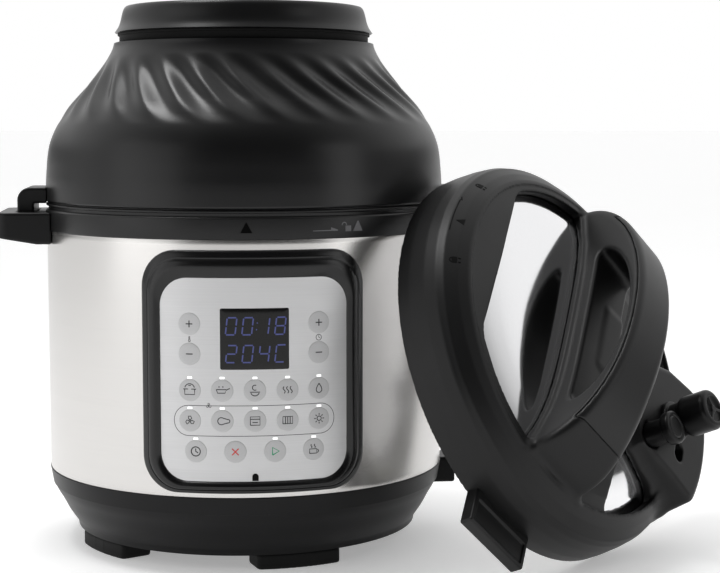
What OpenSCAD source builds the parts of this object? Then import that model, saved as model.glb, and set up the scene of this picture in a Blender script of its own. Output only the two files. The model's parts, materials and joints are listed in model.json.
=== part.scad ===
// Electric pressure cooker with an air-frying lid fitted and its pressure lid leaning beside it.
// Origin: on the cooker's vertical axis, at the surface it stands on.
// +Z is up, the control panel faces -Y, and the leaning lid is on the +X side.
// Angles around the cooker are degrees from the front (-Y), growing towards +X.

/* [Cooker body] */
// Outer radius of the steel shell
shell_r = 144.9; // [144:0.1:146]
// Height of the shell's lower edge
shell_bottom = 54.6; // [52:0.1:56]
// Height of the shell's upper edge, where the collar starts
shell_top = 227.9; // [227:0.1:229]
// Height of the collar's top face
collar_top = 243; // [242.5:0.1:243.2]
// Height of the feet
foot_h = 10.4; // [9:0.1:12]

/* [Control panel] */
// Outer width of the panel's black frame
bezel_w = 149.5; // [147:0.5:151]
// Outer height of the panel's black frame
bezel_h = 160.6; // [158:0.5:162]
// Width of the silver panel face
face_w = 124.8; // [123:0.2:126]
// Height of the silver panel face
face_h = 134.8; // [133:0.2:136]
// Radius of a key
key_r = 7.4; // [6.8:0.1:7.6]
// Travel of a key
key_travel = 0.5; // [0.3:0.1:0.8]

/* [Air-frying lid] */
// Height of the air-frying lid's top above the surface
fryer_top = 389; // [386:0.5:391]
// Outer radius of the top cap
cap_r = 94.2; // [93:0.1:95]
// Radius of the convection fan
fan_r = 48; // [40:1:50]

/* [Inner pot] */
// Outer radius of the pot's wall
pot_r = 120.5; // [119:0.1:121]
// Height of the pot's underside
pot_bottom = 70; // [70:0.1:71]
// Height of the pot's rim
pot_top = 244; // [243.5:0.1:244.2]

/* [Pressure lid] */
// Outer radius of the pressure lid's rim
lid_r = 142.5; // [142:0.1:143]
// Half width of the handle bridge at its waist
bridge_half = 20; // [18:0.5:22]
// Height of the handle bridge above the lid's rim plane
bridge_top = 109; // [106:0.5:111]
// Direction that the leaning lid faces, in degrees from the front
lid_turn = 48.2; // [47.5:0.1:49]
// How far the leaning lid's face looks up from the horizontal
lid_tilt = 22.45; // [22:0.05:23]
// Turn of the handle bridge on the lid's face
bridge_turn = 42; // [40:1:44]

/* [Hidden] */
$fn = 96;
tiny = 0.01;
axis_r = 0.5;
wall = 3;
handle_reach = 181.9;
handle_half = 42;
handle_low = 218.5;
handle_high = 241;
fin_half = 24;
leg_in = 152.7;
leg_out = 164.7;
leg_low = 231;
socket_gap = 1.2;
liner_r = 124;
liner_top = 222;
liner_floor = 60;
plate_r = 100;
plate_top = 69.6;
sensor_r = 12.5;
foot_angles = [-60, 15, 120, 195];
screw_angles = [-22.5, 67.5, 157.5, 247.5];
screw_ring_r = 96;
inlet_angle = 90;
inlet_w = 30;
inlet_low = 35;
inlet_high = 54;
inlet_reach = 156;
collector_w = 70;
collector_low = 92;
collector_high = 150;
collector_reach = 184;

// Panel surfaces, as radii from the cooker's axis.
bezel_back_r = 141;
bezel_front_r = 149.6;
face_back_r = 145.9;
face_front_r = 147.2;
key_back_r = 142.1 + key_travel;
key_front_r = 147.5;
panel_mid = (60.3 + 220.9) / 2;
face_mid = (68.3 + 203.1) / 2;
window_w = 46;
window_low = 141.7;
window_high = 182.6;
lamp_w = 3.2;
lamp_h = 1.5;
lamp_rise = 8.5;

// Columns of keys are one step apart; the bottom row has four keys at its own spacing.
col = 8.55;
col4 = 5.2;
row_plus = 172.1;
row_minus = 152;
row_1 = 127.7;
row_2 = 107.3;
row_3 = 86.6;
// Each key: name, angle, height, whether a lamp sits above it.
KEYS = [
    ["key_temp_up", -2 * col, row_plus, false],
    ["key_temp_down", -2 * col, row_minus, false],
    ["key_time_up", 2 * col, row_plus, false],
    ["key_time_down", 2 * col, row_minus, false],
    ["key_pressure_cook", -2 * col, row_1, true],
    ["key_saute", -col, row_1, true],
    ["key_slow_cook", 0, row_1, true],
    ["key_steam", col, row_1, true],
    ["key_sous_vide", 2 * col, row_1, true],
    ["key_air_fry", -2 * col, row_2, true],
    ["key_roast", -col, row_2, true],
    ["key_bake", 0, row_2, true],
    ["key_grill", col, row_2, true],
    ["key_dehydrate", 2 * col, row_2, true],
    ["key_delay_start", -3 * col4, row_3, true],
    ["key_cancel", -col4, row_3, false],
    ["key_start", col4, row_3, true],
    ["key_keep_warm", 3 * col4, row_3, true]
];

// ---------- helpers ----------

// Turns children, which are drawn at the front, to an angle around the cooker.
module around(angle) { rotate([0, 0, angle]) children(); }

// A cylinder that points outward at the front, from radius r0 to radius r1, at height z.
module radial_rod(r, r0, r1, z) {
    translate([0, -r0, z])
        rotate([90, 0, 0])
            cylinder(r = r, h = r1 - r0);
}

module tube(r_out, r_in, low, high) {
    rotate_extrude()
        translate([r_in, low])
            square([r_out - r_in, high - low]);
}

module rounded_rect(w, h, r) {
    square([w - 2 * r, h], center = true);
    square([w, h - 2 * r], center = true);
    for (x = [-1, 1], y = [-1, 1])
        translate([x * (w / 2 - r), y * (h / 2 - r)])
            circle(r = r);
}

// A rounded rectangle pushed straight forward through the front of the cooker.
module front_prism(w, h, r, z) {
    translate([0, -100, z])
        rotate([90, 0, 0])
            linear_extrude(80)
                rounded_rect(w, h, r);
}

// The part of a cylindrical wall that a front prism cuts out.
module panel_layer(w, h, r, z, r_in, r_out) {
    intersection() {
        tube(r_out, r_in, z - h, z + h);
        front_prism(w, h, r, z);
    }
}

// Stands the leaning lid in place: inside, x runs along its bridge and z out of its face.
module lid_pose() {
    translate([196.75, -78.02, lid_r * cos(lid_tilt)])
        rotate([0, 0, lid_turn])
            rotate([90 - lid_tilt, 0, 0])
                rotate([0, 0, bridge_turn])
                    children();
}

// ---------- cooker body ----------

// Outer side of the base, from the floor plate up to the shell.
base_side = [
    [125.2, foot_h], [125.7, 14], [127.5, 16.5], [132.7, 24], [137, 32.5], [140.5, 38],
    [142.3, 42.3], [143.2, 42.5], [144.1, 48], [145, shell_bottom]];

module inlet_block() {
    around(inlet_angle)
        translate([-inlet_w / 2, -inlet_reach, inlet_low])
            cube([inlet_w, inlet_reach - 128, inlet_high - inlet_low]);
}

module base_housing() {
    boss_r = 7;
    boss_top = 26;
    color("#1d1d1f")
        difference() {
            union() {
                rotate_extrude()
                    polygon(concat(
                        [[axis_r, foot_h]], base_side,
                        [[141.5, shell_bottom], [140.6, 48], [138.6, 42], [133.5, 33], [129.5, 26],
                         [124, 17.5], [121, foot_h + wall], [axis_r, foot_h + wall]]));
                for (a = screw_angles)
                    around(a)
                        translate([0, -screw_ring_r, foot_h + wall - tiny])
                            cylinder(r = boss_r, h = boss_top - foot_h - wall);
            }
            for (a = screw_angles)
                around(a)
                    translate([0, -screw_ring_r, 0]) {
                        cylinder(r = 2.2, h = boss_top + 1);
                        cylinder(r = 4.4, h = foot_h + 3.2);
                    }
            for (a = [0 : 45 : 315])
                around(a)
                    translate([-2.5, -76, foot_h - 1])
                        cube([5, 42, wall + 2]);
            inlet_block();
        }
}

module feet() {
    color("#151516")
        for (a = foot_angles)
            around(a)
                intersection() {
                    tube(125.1, 103, 0, foot_h);
                    translate([-32, -130, -1])
                        cube([64, 60, foot_h + 2]);
                }
}

module base_screws() {
    color("#8d9096")
        for (a = screw_angles)
            around(a)
                translate([0, -screw_ring_r, foot_h + 0.4]) {
                    cylinder(r = 4.1, h = 2.6);
                    cylinder(r = 2, h = 14);
                }
}

module outer_shell() {
    sheet = 0.8;
    color("#c9c7c3")
        difference() {
            tube(shell_r, shell_r - sheet, shell_bottom, shell_top);
            front_prism(141, 152, 21, panel_mid);
        }
}

module top_collar() {
    color("#1b1b1c")
        rotate_extrude()
            polygon([
                [145.6, shell_top], [145.6, collar_top - 1.2], [144.5, collar_top], [133.4, collar_top],
                [131, collar_top - 2], [131, liner_top], [134, liner_top], [134, collar_top - 5],
                [141.6, collar_top - 5], [141.6, shell_top - 4], [143.9, shell_top - 4],
                [143.9, shell_top]]);
}

// The carrying handle on the left. Its slot takes the fin of whichever lid is on, or stands one in it.
module handle_block() {
    corner = 12;
    middle = (handle_reach + 100) / 2;
    difference() {
        intersection() {
            rotate([90, 0, 0])
                linear_extrude(2 * handle_half, center = true)
                    polygon([
                        [-100, handle_low], [-150, handle_low], [1 - handle_reach, handle_low + 5.2],
                        [-handle_reach, handle_low + 6.6], [-handle_reach, 235.6],
                        [5 - handle_reach, handle_high], [-100, handle_high]]);
            translate([-middle, 0, 200])
                linear_extrude(60)
                    rounded_rect(handle_reach - 100, 2 * handle_half, corner);
        }
        cylinder(r = 145.6, h = 400);
        translate([-leg_out - socket_gap, -fin_half - socket_gap, leg_low - 2])
            cube([leg_out - leg_in + 2 * socket_gap, 2 * (fin_half + socket_gap), 20]);
    }
}

module left_handle() {
    color("#1b1b1c") handle_block();
}

module right_handle() {
    color("#1b1b1c") mirror([1, 0, 0]) handle_block();
}

module inner_housing() {
    sheet = 1.2;
    color("#a9acb0")
        rotate_extrude()
            polygon([
                [plate_r + 4, liner_floor], [liner_r + sheet, liner_floor], [liner_r + sheet, liner_top - sheet],
                [140, liner_top - sheet], [140, liner_top], [liner_r, liner_top],
                [liner_r, liner_floor + sheet], [plate_r + 4, liner_floor + sheet]]);
}

module heater_plate() {
    color("#b8babd")
        difference() {
            union() {
                tube(plate_r, sensor_r + 1.5, 60, plate_top);
                tube(84, 72, 52, 60 + tiny);
                for (a = screw_angles)
                    around(a)
                        translate([0, -screw_ring_r, 26])
                            cylinder(r = 3.5, h = 34 + tiny);
            }
            for (a = screw_angles)
                around(a)
                    translate([0, -screw_ring_r, 20])
                        cylinder(r = 1.6, h = 12);
        }
}

module sensor_cap() {
    color("#c6c8ca")
        rotate_extrude()
            polygon([
                [0, plate_top], [sensor_r - 1, plate_top], [sensor_r, plate_top - 1], [sensor_r, 62],
                [sensor_r - 1.5, 62], [sensor_r - 1.5, plate_top - 1.6], [0, plate_top - 1.6]]);
}

// A coil spring: rings of points along a helix, joined into one closed skin.
module sensor_spring() {
    turns = 5;
    steps = 24;
    sides = 8;
    coil_r = 7.5;
    wire_r = 0.8;
    spring_low = 50;
    rise = plate_top - 1.6 - wire_r - spring_low - 0.1;
    count = turns * steps;
    points = [
        for (i = [0 : count], j = [0 : sides - 1])
            let (a = 360 * i / steps, b = 360 * j / sides, r = coil_r + wire_r * cos(b))
                [r * cos(a), r * sin(a), spring_low + rise * i / count + wire_r * sin(b)]];
    skin = [
        for (i = [0 : count - 1], j = [0 : sides - 1])
            let (k = i * sides, n = (j + 1) % sides)
                [k + j, k + sides + j, k + sides + n, k + n]];
    ends = [
        [for (j = [0 : sides - 1]) j],
        [for (j = [sides - 1 : -1 : 0]) count * sides + j]];
    color("#9a9da1")
        polyhedron(points = points, faces = concat(skin, ends));
}

module power_board() {
    board_z = 28;
    color("#2f6b3c")
        difference() {
            union() {
                translate([-55, -35, board_z])
                    cube([110, 70, 1.6]);
                translate([-45, -25, board_z + 1.6 - tiny])
                    cube([28, 24, 16]);
                translate([-5, -22, board_z + 1.6 - tiny])
                    cube([20, 16, 15]);
                translate([-32, 18, board_z + 1.6 - tiny])
                    cylinder(r = 8, h = 17);
                translate([24, -25, board_z + 1.6 - tiny])
                    cube([20, 40, 12]);
                for (x = [-48, 48], y = [-28, 28])
                    translate([x, y, foot_h + wall])
                        cylinder(r = 3, h = board_z - foot_h - wall + tiny);
            }
            translate([6, 20, board_z - 1])
                cylinder(r = 6, h = 4);
        }
}

module control_board() {
    board_y = -131;
    display_front = -143.5;
    color("#28613a") {
        translate([-50, board_y, 76])
            cube([100, 1.6, 124]);
        translate([-22, display_front, window_low + 0.5])
            cube([44, board_y - display_front + tiny, window_high - window_low - 1]);
    }
}

module panel_bezel() {
    color("#202022")
        difference() {
            union() {
                panel_layer(bezel_w, bezel_h, 25, panel_mid, shell_r + 0.05, bezel_front_r);
                panel_layer(140.6, 151.6, 21, panel_mid, bezel_back_r, shell_r + 0.2);
            }
            panel_layer(face_w, face_h, 19, face_mid, face_back_r, 160);
            panel_layer(face_w - 5, face_h - 5, 17, face_mid, 130, 160);
        }
}

module lamps(r0, r1) {
    for (k = KEYS)
        if (k[3])
            around(k[1])
                translate([-lamp_w / 2, -r1, k[2] + lamp_rise - lamp_h / 2])
                    cube([lamp_w, r1 - r0, lamp_h]);
}

module panel_face() {
    color("#c4c5c6")
        difference() {
            panel_layer(face_w, face_h, 19, face_mid, face_back_r, face_front_r);
            front_prism(window_w, window_high - window_low, 1, (window_low + window_high) / 2);
            for (k = KEYS)
                around(k[1])
                    radial_rod(key_r + 0.15, face_back_r - 3, face_front_r + 3, k[2]);
            lamps(face_back_r - 2, face_front_r + 2);
        }
}

module display_window() {
    color("#0c0d14")
        panel_layer(window_w, window_high - window_low, 1, (window_low + window_high) / 2,
            face_back_r, face_front_r + 0.1);
}

module indicator_lights() {
    color("#f2f4f6") lamps(face_back_r, face_front_r + 0.1);
}

// A key's cap is flush with the panel face, and its wider root stops it falling out.
module key(angle, z) {
    color("#b4b5b6")
        around(angle) {
            radial_rod(key_r, key_back_r, key_front_r, z);
            radial_rod(key_r + 1, key_back_r, face_back_r - 0.4, z);
        }
}

module power_inlet() {
    color("#171718")
        difference() {
            inlet_block();
            around(inlet_angle)
                translate([-12, -inlet_reach - 1, inlet_low + 1.5])
                    cube([24, 17, 16]);
        }
    color("#b58b3c")
        around(inlet_angle)
            for (x = [-7, 0, 7])
                translate([x - 1, -inlet_reach + 6, inlet_low + 7.5])
                    cube([2, 12, 4]);
}

module collector_bracket() {
    color("#1b1b1c")
        difference() {
            intersection() {
                tube(148, shell_r, collector_high - 14, collector_high + 18);
                around(180)
                    translate([-30, -200, 0])
                        cube([60, 120, 300]);
            }
            around(180)
                radial_rod(4, 140, 152, collector_high + 8);
        }
}

module condensation_collector() {
    cup_wall = 1.8;
    color("#3a3b3e")
        difference() {
            around(180)
                translate([0, -166, collector_low])
                    linear_extrude(collector_high - collector_low - 1)
                        rounded_rect(collector_w, 2 * (collector_reach - 166), 8);
            around(180)
                translate([0, -166, collector_low + cup_wall])
                    linear_extrude(100)
                        rounded_rect(collector_w - 2 * cup_wall, 2 * (collector_reach - 166 - cup_wall), 6.4);
            cylinder(r = 148.5, h = 400);
        }
}

module inner_pot() {
    pot_wall = 1.2;
    pot_floor = 5;
    color("#d4d5d6")
        rotate_extrude()
            polygon([
                [0, pot_bottom], [pot_r - 8, pot_bottom], [pot_r - 2.3, pot_bottom + 2.3],
                [pot_r, pot_bottom + 8], [pot_r, pot_top - 4], [pot_r + 2, pot_top - 1.6],
                [pot_r + 6.5, pot_top - 1.6], [pot_r + 6.5, pot_top], [pot_r + 1, pot_top],
                [pot_r - pot_wall, pot_top - 3], [pot_r - pot_wall, pot_bottom + 9],
                [pot_r - 9, pot_bottom + pot_floor], [0, pot_bottom + pot_floor]]);
}

// ---------- air-frying lid ----------

ring_low = 244.7;
dome_low = 248;
dome_high = 362.4;
vent_top = 367.4;
guard_z = 262;
coil_z = 286;
fan_low = 280;
fan_top = 293;
reflector_top = 300;
shaft_r = 3;

module fryer_lid_ring() {
    color("#161617")
        rotate_extrude()
            polygon([
                [145.3, ring_low], [145.3, 246.6], [143.4, 246.6], [143.4, dome_low], [138, dome_low],
                [138, 251], [112.4, 251], [112.4, 233], [115.4, 233], [115.4, ring_low]]);
}

module fryer_lid_shell() {
    outside = [
        [145.4, dome_low], [145.4, 262], [144.7, 271], [144, 280], [142.5, 289], [139.1, 298],
        [134.3, 306.6], [128.8, 315.4], [121, 324.3], [113.6, 333], [105.9, 342], [99.6, 351],
        [95.9, 358], [94.8, dome_high]];
    color("#1e1e1f")
        rotate_extrude()
            polygon(concat(
                outside,
                [for (i = [len(outside) - 1 : -1 : 0]) [outside[i][0] - wall, outside[i][1]]]));
}

module fryer_lid_vent() {
    slots = 36;
    color("#0f0f10")
        difference() {
            rotate_extrude()
                polygon([
                    [91.8, dome_high - 3], [91.8, vent_top], [94.2, vent_top], [94.2, vent_top + 2],
                    [89, vent_top + 2], [89, dome_high - 3]]);
            for (i = [0 : slots - 1])
                around(i * 360 / slots)
                    translate([-3.5, -95, dome_high + 1])
                        cube([7, 10, 3]);
        }
}

module fryer_lid_cap() {
    color("#202021")
        rotate_extrude()
            polygon([
                [0, fryer_top], [84, fryer_top], [87, fryer_top - 1.3], [88.6, fryer_top - 4.5],
                [90.7, 375], [cap_r, vent_top + 2], [cap_r - wall, vent_top + 2], [88, 375],
                [85.5, fryer_top - wall], [0, fryer_top - wall]]);
}

// The hooked fin that drops into a handle's slot.
module fin_block() {
    arm_low = 247;
    arm_top = 258.4;
    round_r = 9.5;
    difference() {
        rotate([90, 0, 0])
            linear_extrude(2 * fin_half, center = true) {
                translate([-leg_out + round_r, arm_top - round_r])
                    intersection() {
                        circle(r = round_r);
                        translate([-round_r, 0])
                            square(round_r);
                    }
                translate([-leg_out + round_r, arm_low])
                    square([leg_out - round_r - 140, arm_top - arm_low]);
                translate([-leg_out, leg_low])
                    square([leg_out - leg_in, arm_top - round_r - leg_low]);
            }
        cylinder(r = 145.4, h = 400);
    }
}

module fryer_lid_plug() {
    color("#1b1b1c") fin_block();
    color("#b58b3c")
        for (y = [-12, 0, 12])
            translate([-(leg_in + leg_out) / 2 - 1.5, y - 3, leg_low - 1.2])
                cube([3, 6, 1.2 + tiny]);
}

module fryer_lid_fin() {
    color("#1b1b1c") mirror([1, 0, 0]) fin_block();
}

module heat_reflector() {
    sheet = 1;
    color("#b9bbbd")
        rotate_extrude()
            polygon([
                [10, reflector_top], [96, reflector_top], [111, 284], [111, 251.2],
                [111 - sheet, 251.2], [111 - sheet, 284 - 0.4], [95.5, reflector_top - sheet],
                [10, reflector_top - sheet]]);
}

module heating_coil() {
    tube_r = 3.3;
    turn_gap = 11;
    color("#4a4d50") {
        for (i = [0 : 2])
            rotate_extrude()
                translate([62 + i * turn_gap, coil_z])
                    circle(r = tube_r, $fn = 24);
        for (a = [90, 270])
            around(a) {
                radial_rod(2, 62, 62 + 2 * turn_gap, coil_z);
                translate([0, -62 - turn_gap, coil_z])
                    cylinder(r = 2.5, h = reflector_top - 1 - coil_z);
            }
    }
}

module coil_guard() {
    bar = 2.4;
    color("#c3c5c7") {
        for (r = [16 : 13 : 107])
            tube(r + bar / 2, r - bar / 2, guard_z - bar / 2, guard_z + bar / 2);
        for (a = [0, 60, 120])
            around(a)
                translate([-108, -bar / 2, guard_z - bar / 2])
                    cube([216, bar, bar]);
    }
}

module fan_motor() {
    color("#8e9195")
        difference() {
            union() {
                tube(28, shaft_r + 0.06, 306, 338);
                tube(40, shaft_r + 1, 303, 306 + tiny);
                for (a = [30, 150, 270])
                    around(a)
                        translate([-7, -130, 303])
                            cube([14, 102, 2.4]);
            }
            translate([0, 0, 300])
                cylinder(r = shaft_r + 0.06, h = 50);
        }
}

// Heating fan below the reflector and cooling fan above the motor, on one shaft.
module convection_fan() {
    blades = 8;
    cool_low = 342;
    cool_top = 352;
    color("#a6a9ac") {
        translate([0, 0, fan_low])
            cylinder(r = shaft_r, h = cool_top - fan_low);
        translate([0, 0, fan_top - 1.2])
            cylinder(r = fan_r, h = 1.2);
        translate([0, 0, cool_low])
            cylinder(r = 44, h = 1.2);
        for (i = [0 : blades - 1])
            around(i * 360 / blades) {
                translate([-0.6, -fan_r + 1, fan_low])
                    cube([1.2, fan_r - 2, fan_top - fan_low - 1]);
                translate([-0.6, -43, cool_low + 1])
                    cube([1.2, 41, cool_top - cool_low - 1]);
            }
    }
}

// ---------- pressure lid, in its own frame: z = 0 is its rim plane ----------

window_r = 120;
dome_peak = 49.5;
block_top = 62;
valve_at = [0, -95];
button_at = [-29, -74];
float_at = [-15, -108];
pipe_r = 4;

// Plan of the bridge: waisted in the middle and wider where it meets the ring.
module bridge_plan() {
    difference() {
        square([236, 2 * bridge_half + 18], center = true);
        for (s = [-1, 1])
            translate([0, s * (bridge_half + 300)])
                circle(r = 300, $fn = 180);
    }
}

// Side of the bridge: an elliptic arch, grown or shrunk by e.
module arch_side(e) {
    scale([(118 + e) / 100, 1])
        intersection() {
            scale([1, (bridge_top - 47 + e) / 100])
                circle(r = 100, $fn = 120);
            translate([-100, 0])
                square([200, 100]);
        }
}

// A solid whose side is the arch and whose plan is the bridge's.
module arch_solid(e) {
    intersection() {
        translate([0, 60, 47])
            rotate([90, 0, 0])
                linear_extrude(120)
                    arch_side(e);
        linear_extrude(150)
            bridge_plan();
    }
}

module grip_slot() {
    translate([-4, 60, 65])
        rotate([90, 0, 0])
            linear_extrude(120)
                difference() {
                    scale([74 / 34, 1])
                        circle(r = 34, $fn = 120);
                    translate([-100, -100])
                        square([200, 100]);
                }
}

// Housing of the valves: it widens from the bridge to the rim.
module valve_block() {
    intersection() {
        translate([0, 0, 44])
            linear_extrude(block_top - 44)
                polygon([
                    [-24, -15], [-26, -56], [-41, -70], [-45, -86], [-46, -108], [-52, -140],
                    [50, -140], [49, -112], [44, -84], [30, -58], [26, -15]]);
        cylinder(r = 139.5, h = 100);
    }
}

module dome_solid(e) {
    rotate_extrude()
        polygon([
            [0, dome_peak + e], [60, 48.5 + e], [90, 46.5 + e], [118, 42 + e], [128 + e, 36 + e],
            [132 + e, 30], [132 + e, 6], [0, 6]]);
}

module pressure_lid_cover() {
    color("#1f1f20")
        lid_pose()
            difference() {
                union() {
                    rotate_extrude()
                        polygon([
                            [lid_r, 0], [142.2, 10], [141, 22], [138.9, 31.6], [136, 36.5], [130, 42],
                            [124, 46], [window_r, 47.3], [window_r, 43.6], [129, 38], [133.4, 32],
                            [135, 28], [137.6, 20], [139.4, 0]]);
                    difference() {
                        intersection() {
                            arch_solid(-4);
                            cylinder(r = 134, h = 150);
                        }
                        grip_slot();
                        dome_solid(0.4);
                    }
                    difference() {
                        valve_block();
                        dome_solid(0.4);
                    }
                    for (s = [-1, 1])
                        difference() {
                            translate([s * 152 - 13, -28.5, 0])
                                cube([26, 57, 10]);
                            cylinder(r = 140, h = 30, center = true);
                        }
                }
                translate([valve_at[0], valve_at[1], 0])
                    cylinder(r = pipe_r + 0.4, h = 100);
                translate([button_at[0], button_at[1], 40])
                    cylinder(r = 9.4, h = 60);
                translate([float_at[0], float_at[1], 0])
                    cylinder(r = 4.6, h = 100);
            }
}

module pressure_lid_handle() {
    color("#242425")
        lid_pose()
            difference() {
                intersection() {
                    arch_solid(0);
                    translate([-99, -60, 60])
                        cube([198, 120, 80]);
                }
                arch_solid(-4);
            }
}

module pressure_lid_dome() {
    sheet = 2;
    color("#d6d7d9")
        lid_pose() {
            difference() {
                rotate_extrude()
                    polygon([
                        [0, dome_peak], [60, 48.5], [90, 46.5], [118, 42], [128, 36], [132, 30],
                        [132, 6], [130, 6], [130, 29.4], [126.8, 34.4], [117.4, 40],
                        [90, 46.5 - sheet], [60, 48.5 - sheet], [0, dome_peak - sheet]]);
                translate([float_at[0], float_at[1], 0])
                    cylinder(r = 3.6, h = 100);
                translate([valve_at[0], valve_at[1], 30])
                    cylinder(r = 2, h = 30);
            }
            translate([valve_at[0], valve_at[1], 44])
                difference() {
                    cylinder(r = pipe_r, h = 28);
                    translate([0, 0, -1])
                        cylinder(r = 2, h = 30);
                }
        }
}

module sealing_ring() {
    color("#dcdcd6")
        lid_pose()
            rotate_extrude()
                polygon([[112.5, 20], [121.5, 20], [121.5, 33], [118.5, 33], [118.5, 25], [112.5, 23]]);
}

module sealing_ring_rack() {
    color("#aeb0b3")
        lid_pose()
            rotate_extrude()
                translate([110.8, 24.5])
                    circle(r = 1.6, $fn = 24);
}

module anti_block_shield() {
    color("#c9cacc")
        lid_pose()
            translate([valve_at[0], valve_at[1], 27])
                difference() {
                    cylinder(r = 13, h = 14);
                    translate([0, 0, 1.2])
                        cylinder(r = 11.8, h = 20);
                    for (a = [0 : 45 : 315])
                        rotate([0, 0, a])
                            translate([-1.5, -15, 3])
                                cube([3, 8, 8]);
                }
}

module steam_valve() {
    color("#171718")
        lid_pose()
            translate([valve_at[0], valve_at[1], 0])
                difference() {
                    rotate_extrude()
                        polygon([
                            [0, 97], [12.4, 97], [14.7, 94.5], [14.7, 74], [12.8, 72.4], [12.8, 67],
                            [14.8, 66], [14.8, block_top + 0.5], [pipe_r + 0.08, block_top + 0.5],
                            [pipe_r + 0.08, 74], [0, 74]]);
                    for (a = [0, 120, 240])
                        rotate([0, 0, a])
                            translate([4, -2, 94])
                                cube([5, 4, 4]);
                }
}

module release_button() {
    color("#2b2b2d")
        lid_pose()
            translate([button_at[0], button_at[1], 0])
                rotate_extrude()
                    polygon([
                        [0, 82.5], [10, 82.5], [11.8, 81], [11.8, 76.2], [9, 75], [9, 53.5], [0, 53.5]]);
}

module float_valve() {
    color("#c9cacc")
        lid_pose()
            translate([float_at[0], float_at[1], 0])
                rotate_extrude()
                    polygon([
                        [0, 55.5], [2.4, 55.5], [3.4, 54.5], [3.4, 35], [5.4, 35], [5.4, 31.5], [0, 31.5]]);
}

// ---------- which sub-parts are drawn ----------

base_housing();
feet();
base_screws();
outer_shell();
top_collar();
left_handle();
right_handle();
inner_housing();
heater_plate();
sensor_cap();
sensor_spring();
power_board();
control_board();
panel_bezel();
panel_face();
display_window();
indicator_lights();
power_inlet();
collector_bracket();
condensation_collector();
inner_pot();
for (k = KEYS)
    key(k[1], k[2]);
fryer_lid_ring();
fryer_lid_shell();
fryer_lid_vent();
fryer_lid_cap();
fryer_lid_plug();
fryer_lid_fin();
heat_reflector();
heating_coil();
coil_guard();
fan_motor();
convection_fan();
pressure_lid_cover();
pressure_lid_handle();
pressure_lid_dome();
sealing_ring();
sealing_ring_rack();
anti_block_shield();
steam_valve();
release_button();
float_valve();
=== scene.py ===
import json
import math

import bmesh
import bpy
import numpy as np
from mathutils import Matrix, Vector
from mathutils.geometry import delaunay_2d_cdt


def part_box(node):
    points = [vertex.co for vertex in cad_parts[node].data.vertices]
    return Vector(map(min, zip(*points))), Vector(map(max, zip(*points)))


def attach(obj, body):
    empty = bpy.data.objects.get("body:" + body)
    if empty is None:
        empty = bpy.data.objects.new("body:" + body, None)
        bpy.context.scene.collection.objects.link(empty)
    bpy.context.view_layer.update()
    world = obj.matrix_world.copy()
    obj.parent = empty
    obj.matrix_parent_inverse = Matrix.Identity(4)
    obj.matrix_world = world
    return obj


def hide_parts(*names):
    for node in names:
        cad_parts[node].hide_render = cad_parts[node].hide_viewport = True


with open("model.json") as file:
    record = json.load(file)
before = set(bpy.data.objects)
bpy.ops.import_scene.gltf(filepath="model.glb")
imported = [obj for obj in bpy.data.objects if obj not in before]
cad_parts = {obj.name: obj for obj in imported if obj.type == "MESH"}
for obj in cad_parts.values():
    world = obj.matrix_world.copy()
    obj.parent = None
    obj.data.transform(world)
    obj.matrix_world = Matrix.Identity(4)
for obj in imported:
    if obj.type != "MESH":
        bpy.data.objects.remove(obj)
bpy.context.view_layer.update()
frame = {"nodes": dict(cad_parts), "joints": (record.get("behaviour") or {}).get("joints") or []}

# Electric pressure cooker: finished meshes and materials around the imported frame.
# Shapes are worked out in millimetres, and turned into metres as each mesh is made.
# Angles around the cooker are degrees from the front (-Y), growing towards +X.

MM = 0.001
NODES = frame["nodes"]
KEYS = sorted(n for n in NODES if n.startswith("key_"))


# ---------- reading the frame ----------

def span(node):
    """Lowest and highest corner of a CAD node, in millimetres."""
    low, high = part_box(node)
    return low / MM, high / MM


def top_of(node):
    return span(node)[1].z


def bottom_of(node):
    return span(node)[0].z


def reach_of(node):
    """Outer radius of a round node that stands on the cooker's axis."""
    return span(node)[1].y


def joint(name):
    return next(j for j in frame["joints"] if j["name"] == name)


# ---------- making pieces ----------

def piece(name, points, faces, body, finish, node=None, slot=None, sharp=35, place=None, closed=True):
    """Makes a mesh piece from points in millimetres, and fastens it to the frame."""
    mesh = bpy.data.meshes.new(name)
    points = np.asarray(points, float)
    if place is not None:
        points = points @ np.array(place.to_3x3()).T + np.array(place.translation)
    mesh.from_pydata((points * MM).tolist(), [], [list(map(int, f)) for f in faces])
    mesh.validate()
    if closed:
        face_outward(mesh)
    mesh.shade_smooth()
    if sharp is not None:
        mesh.set_sharp_from_angle(angle=math.radians(sharp))
    mesh.materials.append(M[finish])
    obj = bpy.data.objects.new(name, mesh)
    bpy.context.scene.collection.objects.link(obj)
    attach(obj, body)
    if node:
        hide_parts(node)
    return obj


def skin_piece(name, shape, low, high, step, *rest, **more):
    """A piece from a distance function, shaded smooth all over."""
    return piece(name, *skin(shape, low, high, coarse(step)), *rest, sharp=None, **more)


def face_outward(mesh):
    bm = bmesh.new()
    bm.from_mesh(mesh)
    bmesh.ops.recalc_face_normals(bm, faces=bm.faces)
    bm.to_mesh(mesh)
    bm.free()


def join(parts):
    """One list of points and faces out of several."""
    points, faces = [], []
    for p, f in parts:
        start = len(points)
        points += [tuple(q) for q in p]
        faces += [[start + i for i in face] for face in f]
    return points, faces


def between(a, b, share):
    """The point that share of the way from a to b."""
    return tuple(np.add(np.multiply(a, 1 - share), np.multiply(b, share)))


def band(low, high, n):
    """Faces between two rings of n points, which start at those numbers."""
    return [[low + k, low + (k + 1) % n, high + (k + 1) % n, high + k] for k in range(n)]


def layers(count, n, closed=False):
    """Faces from ring to ring of count rings of n points, and from the last to the first if closed."""
    return [face for i in range(count - 1 + closed) for face in band(i * n, (i + 1) % count * n, n)]


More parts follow.
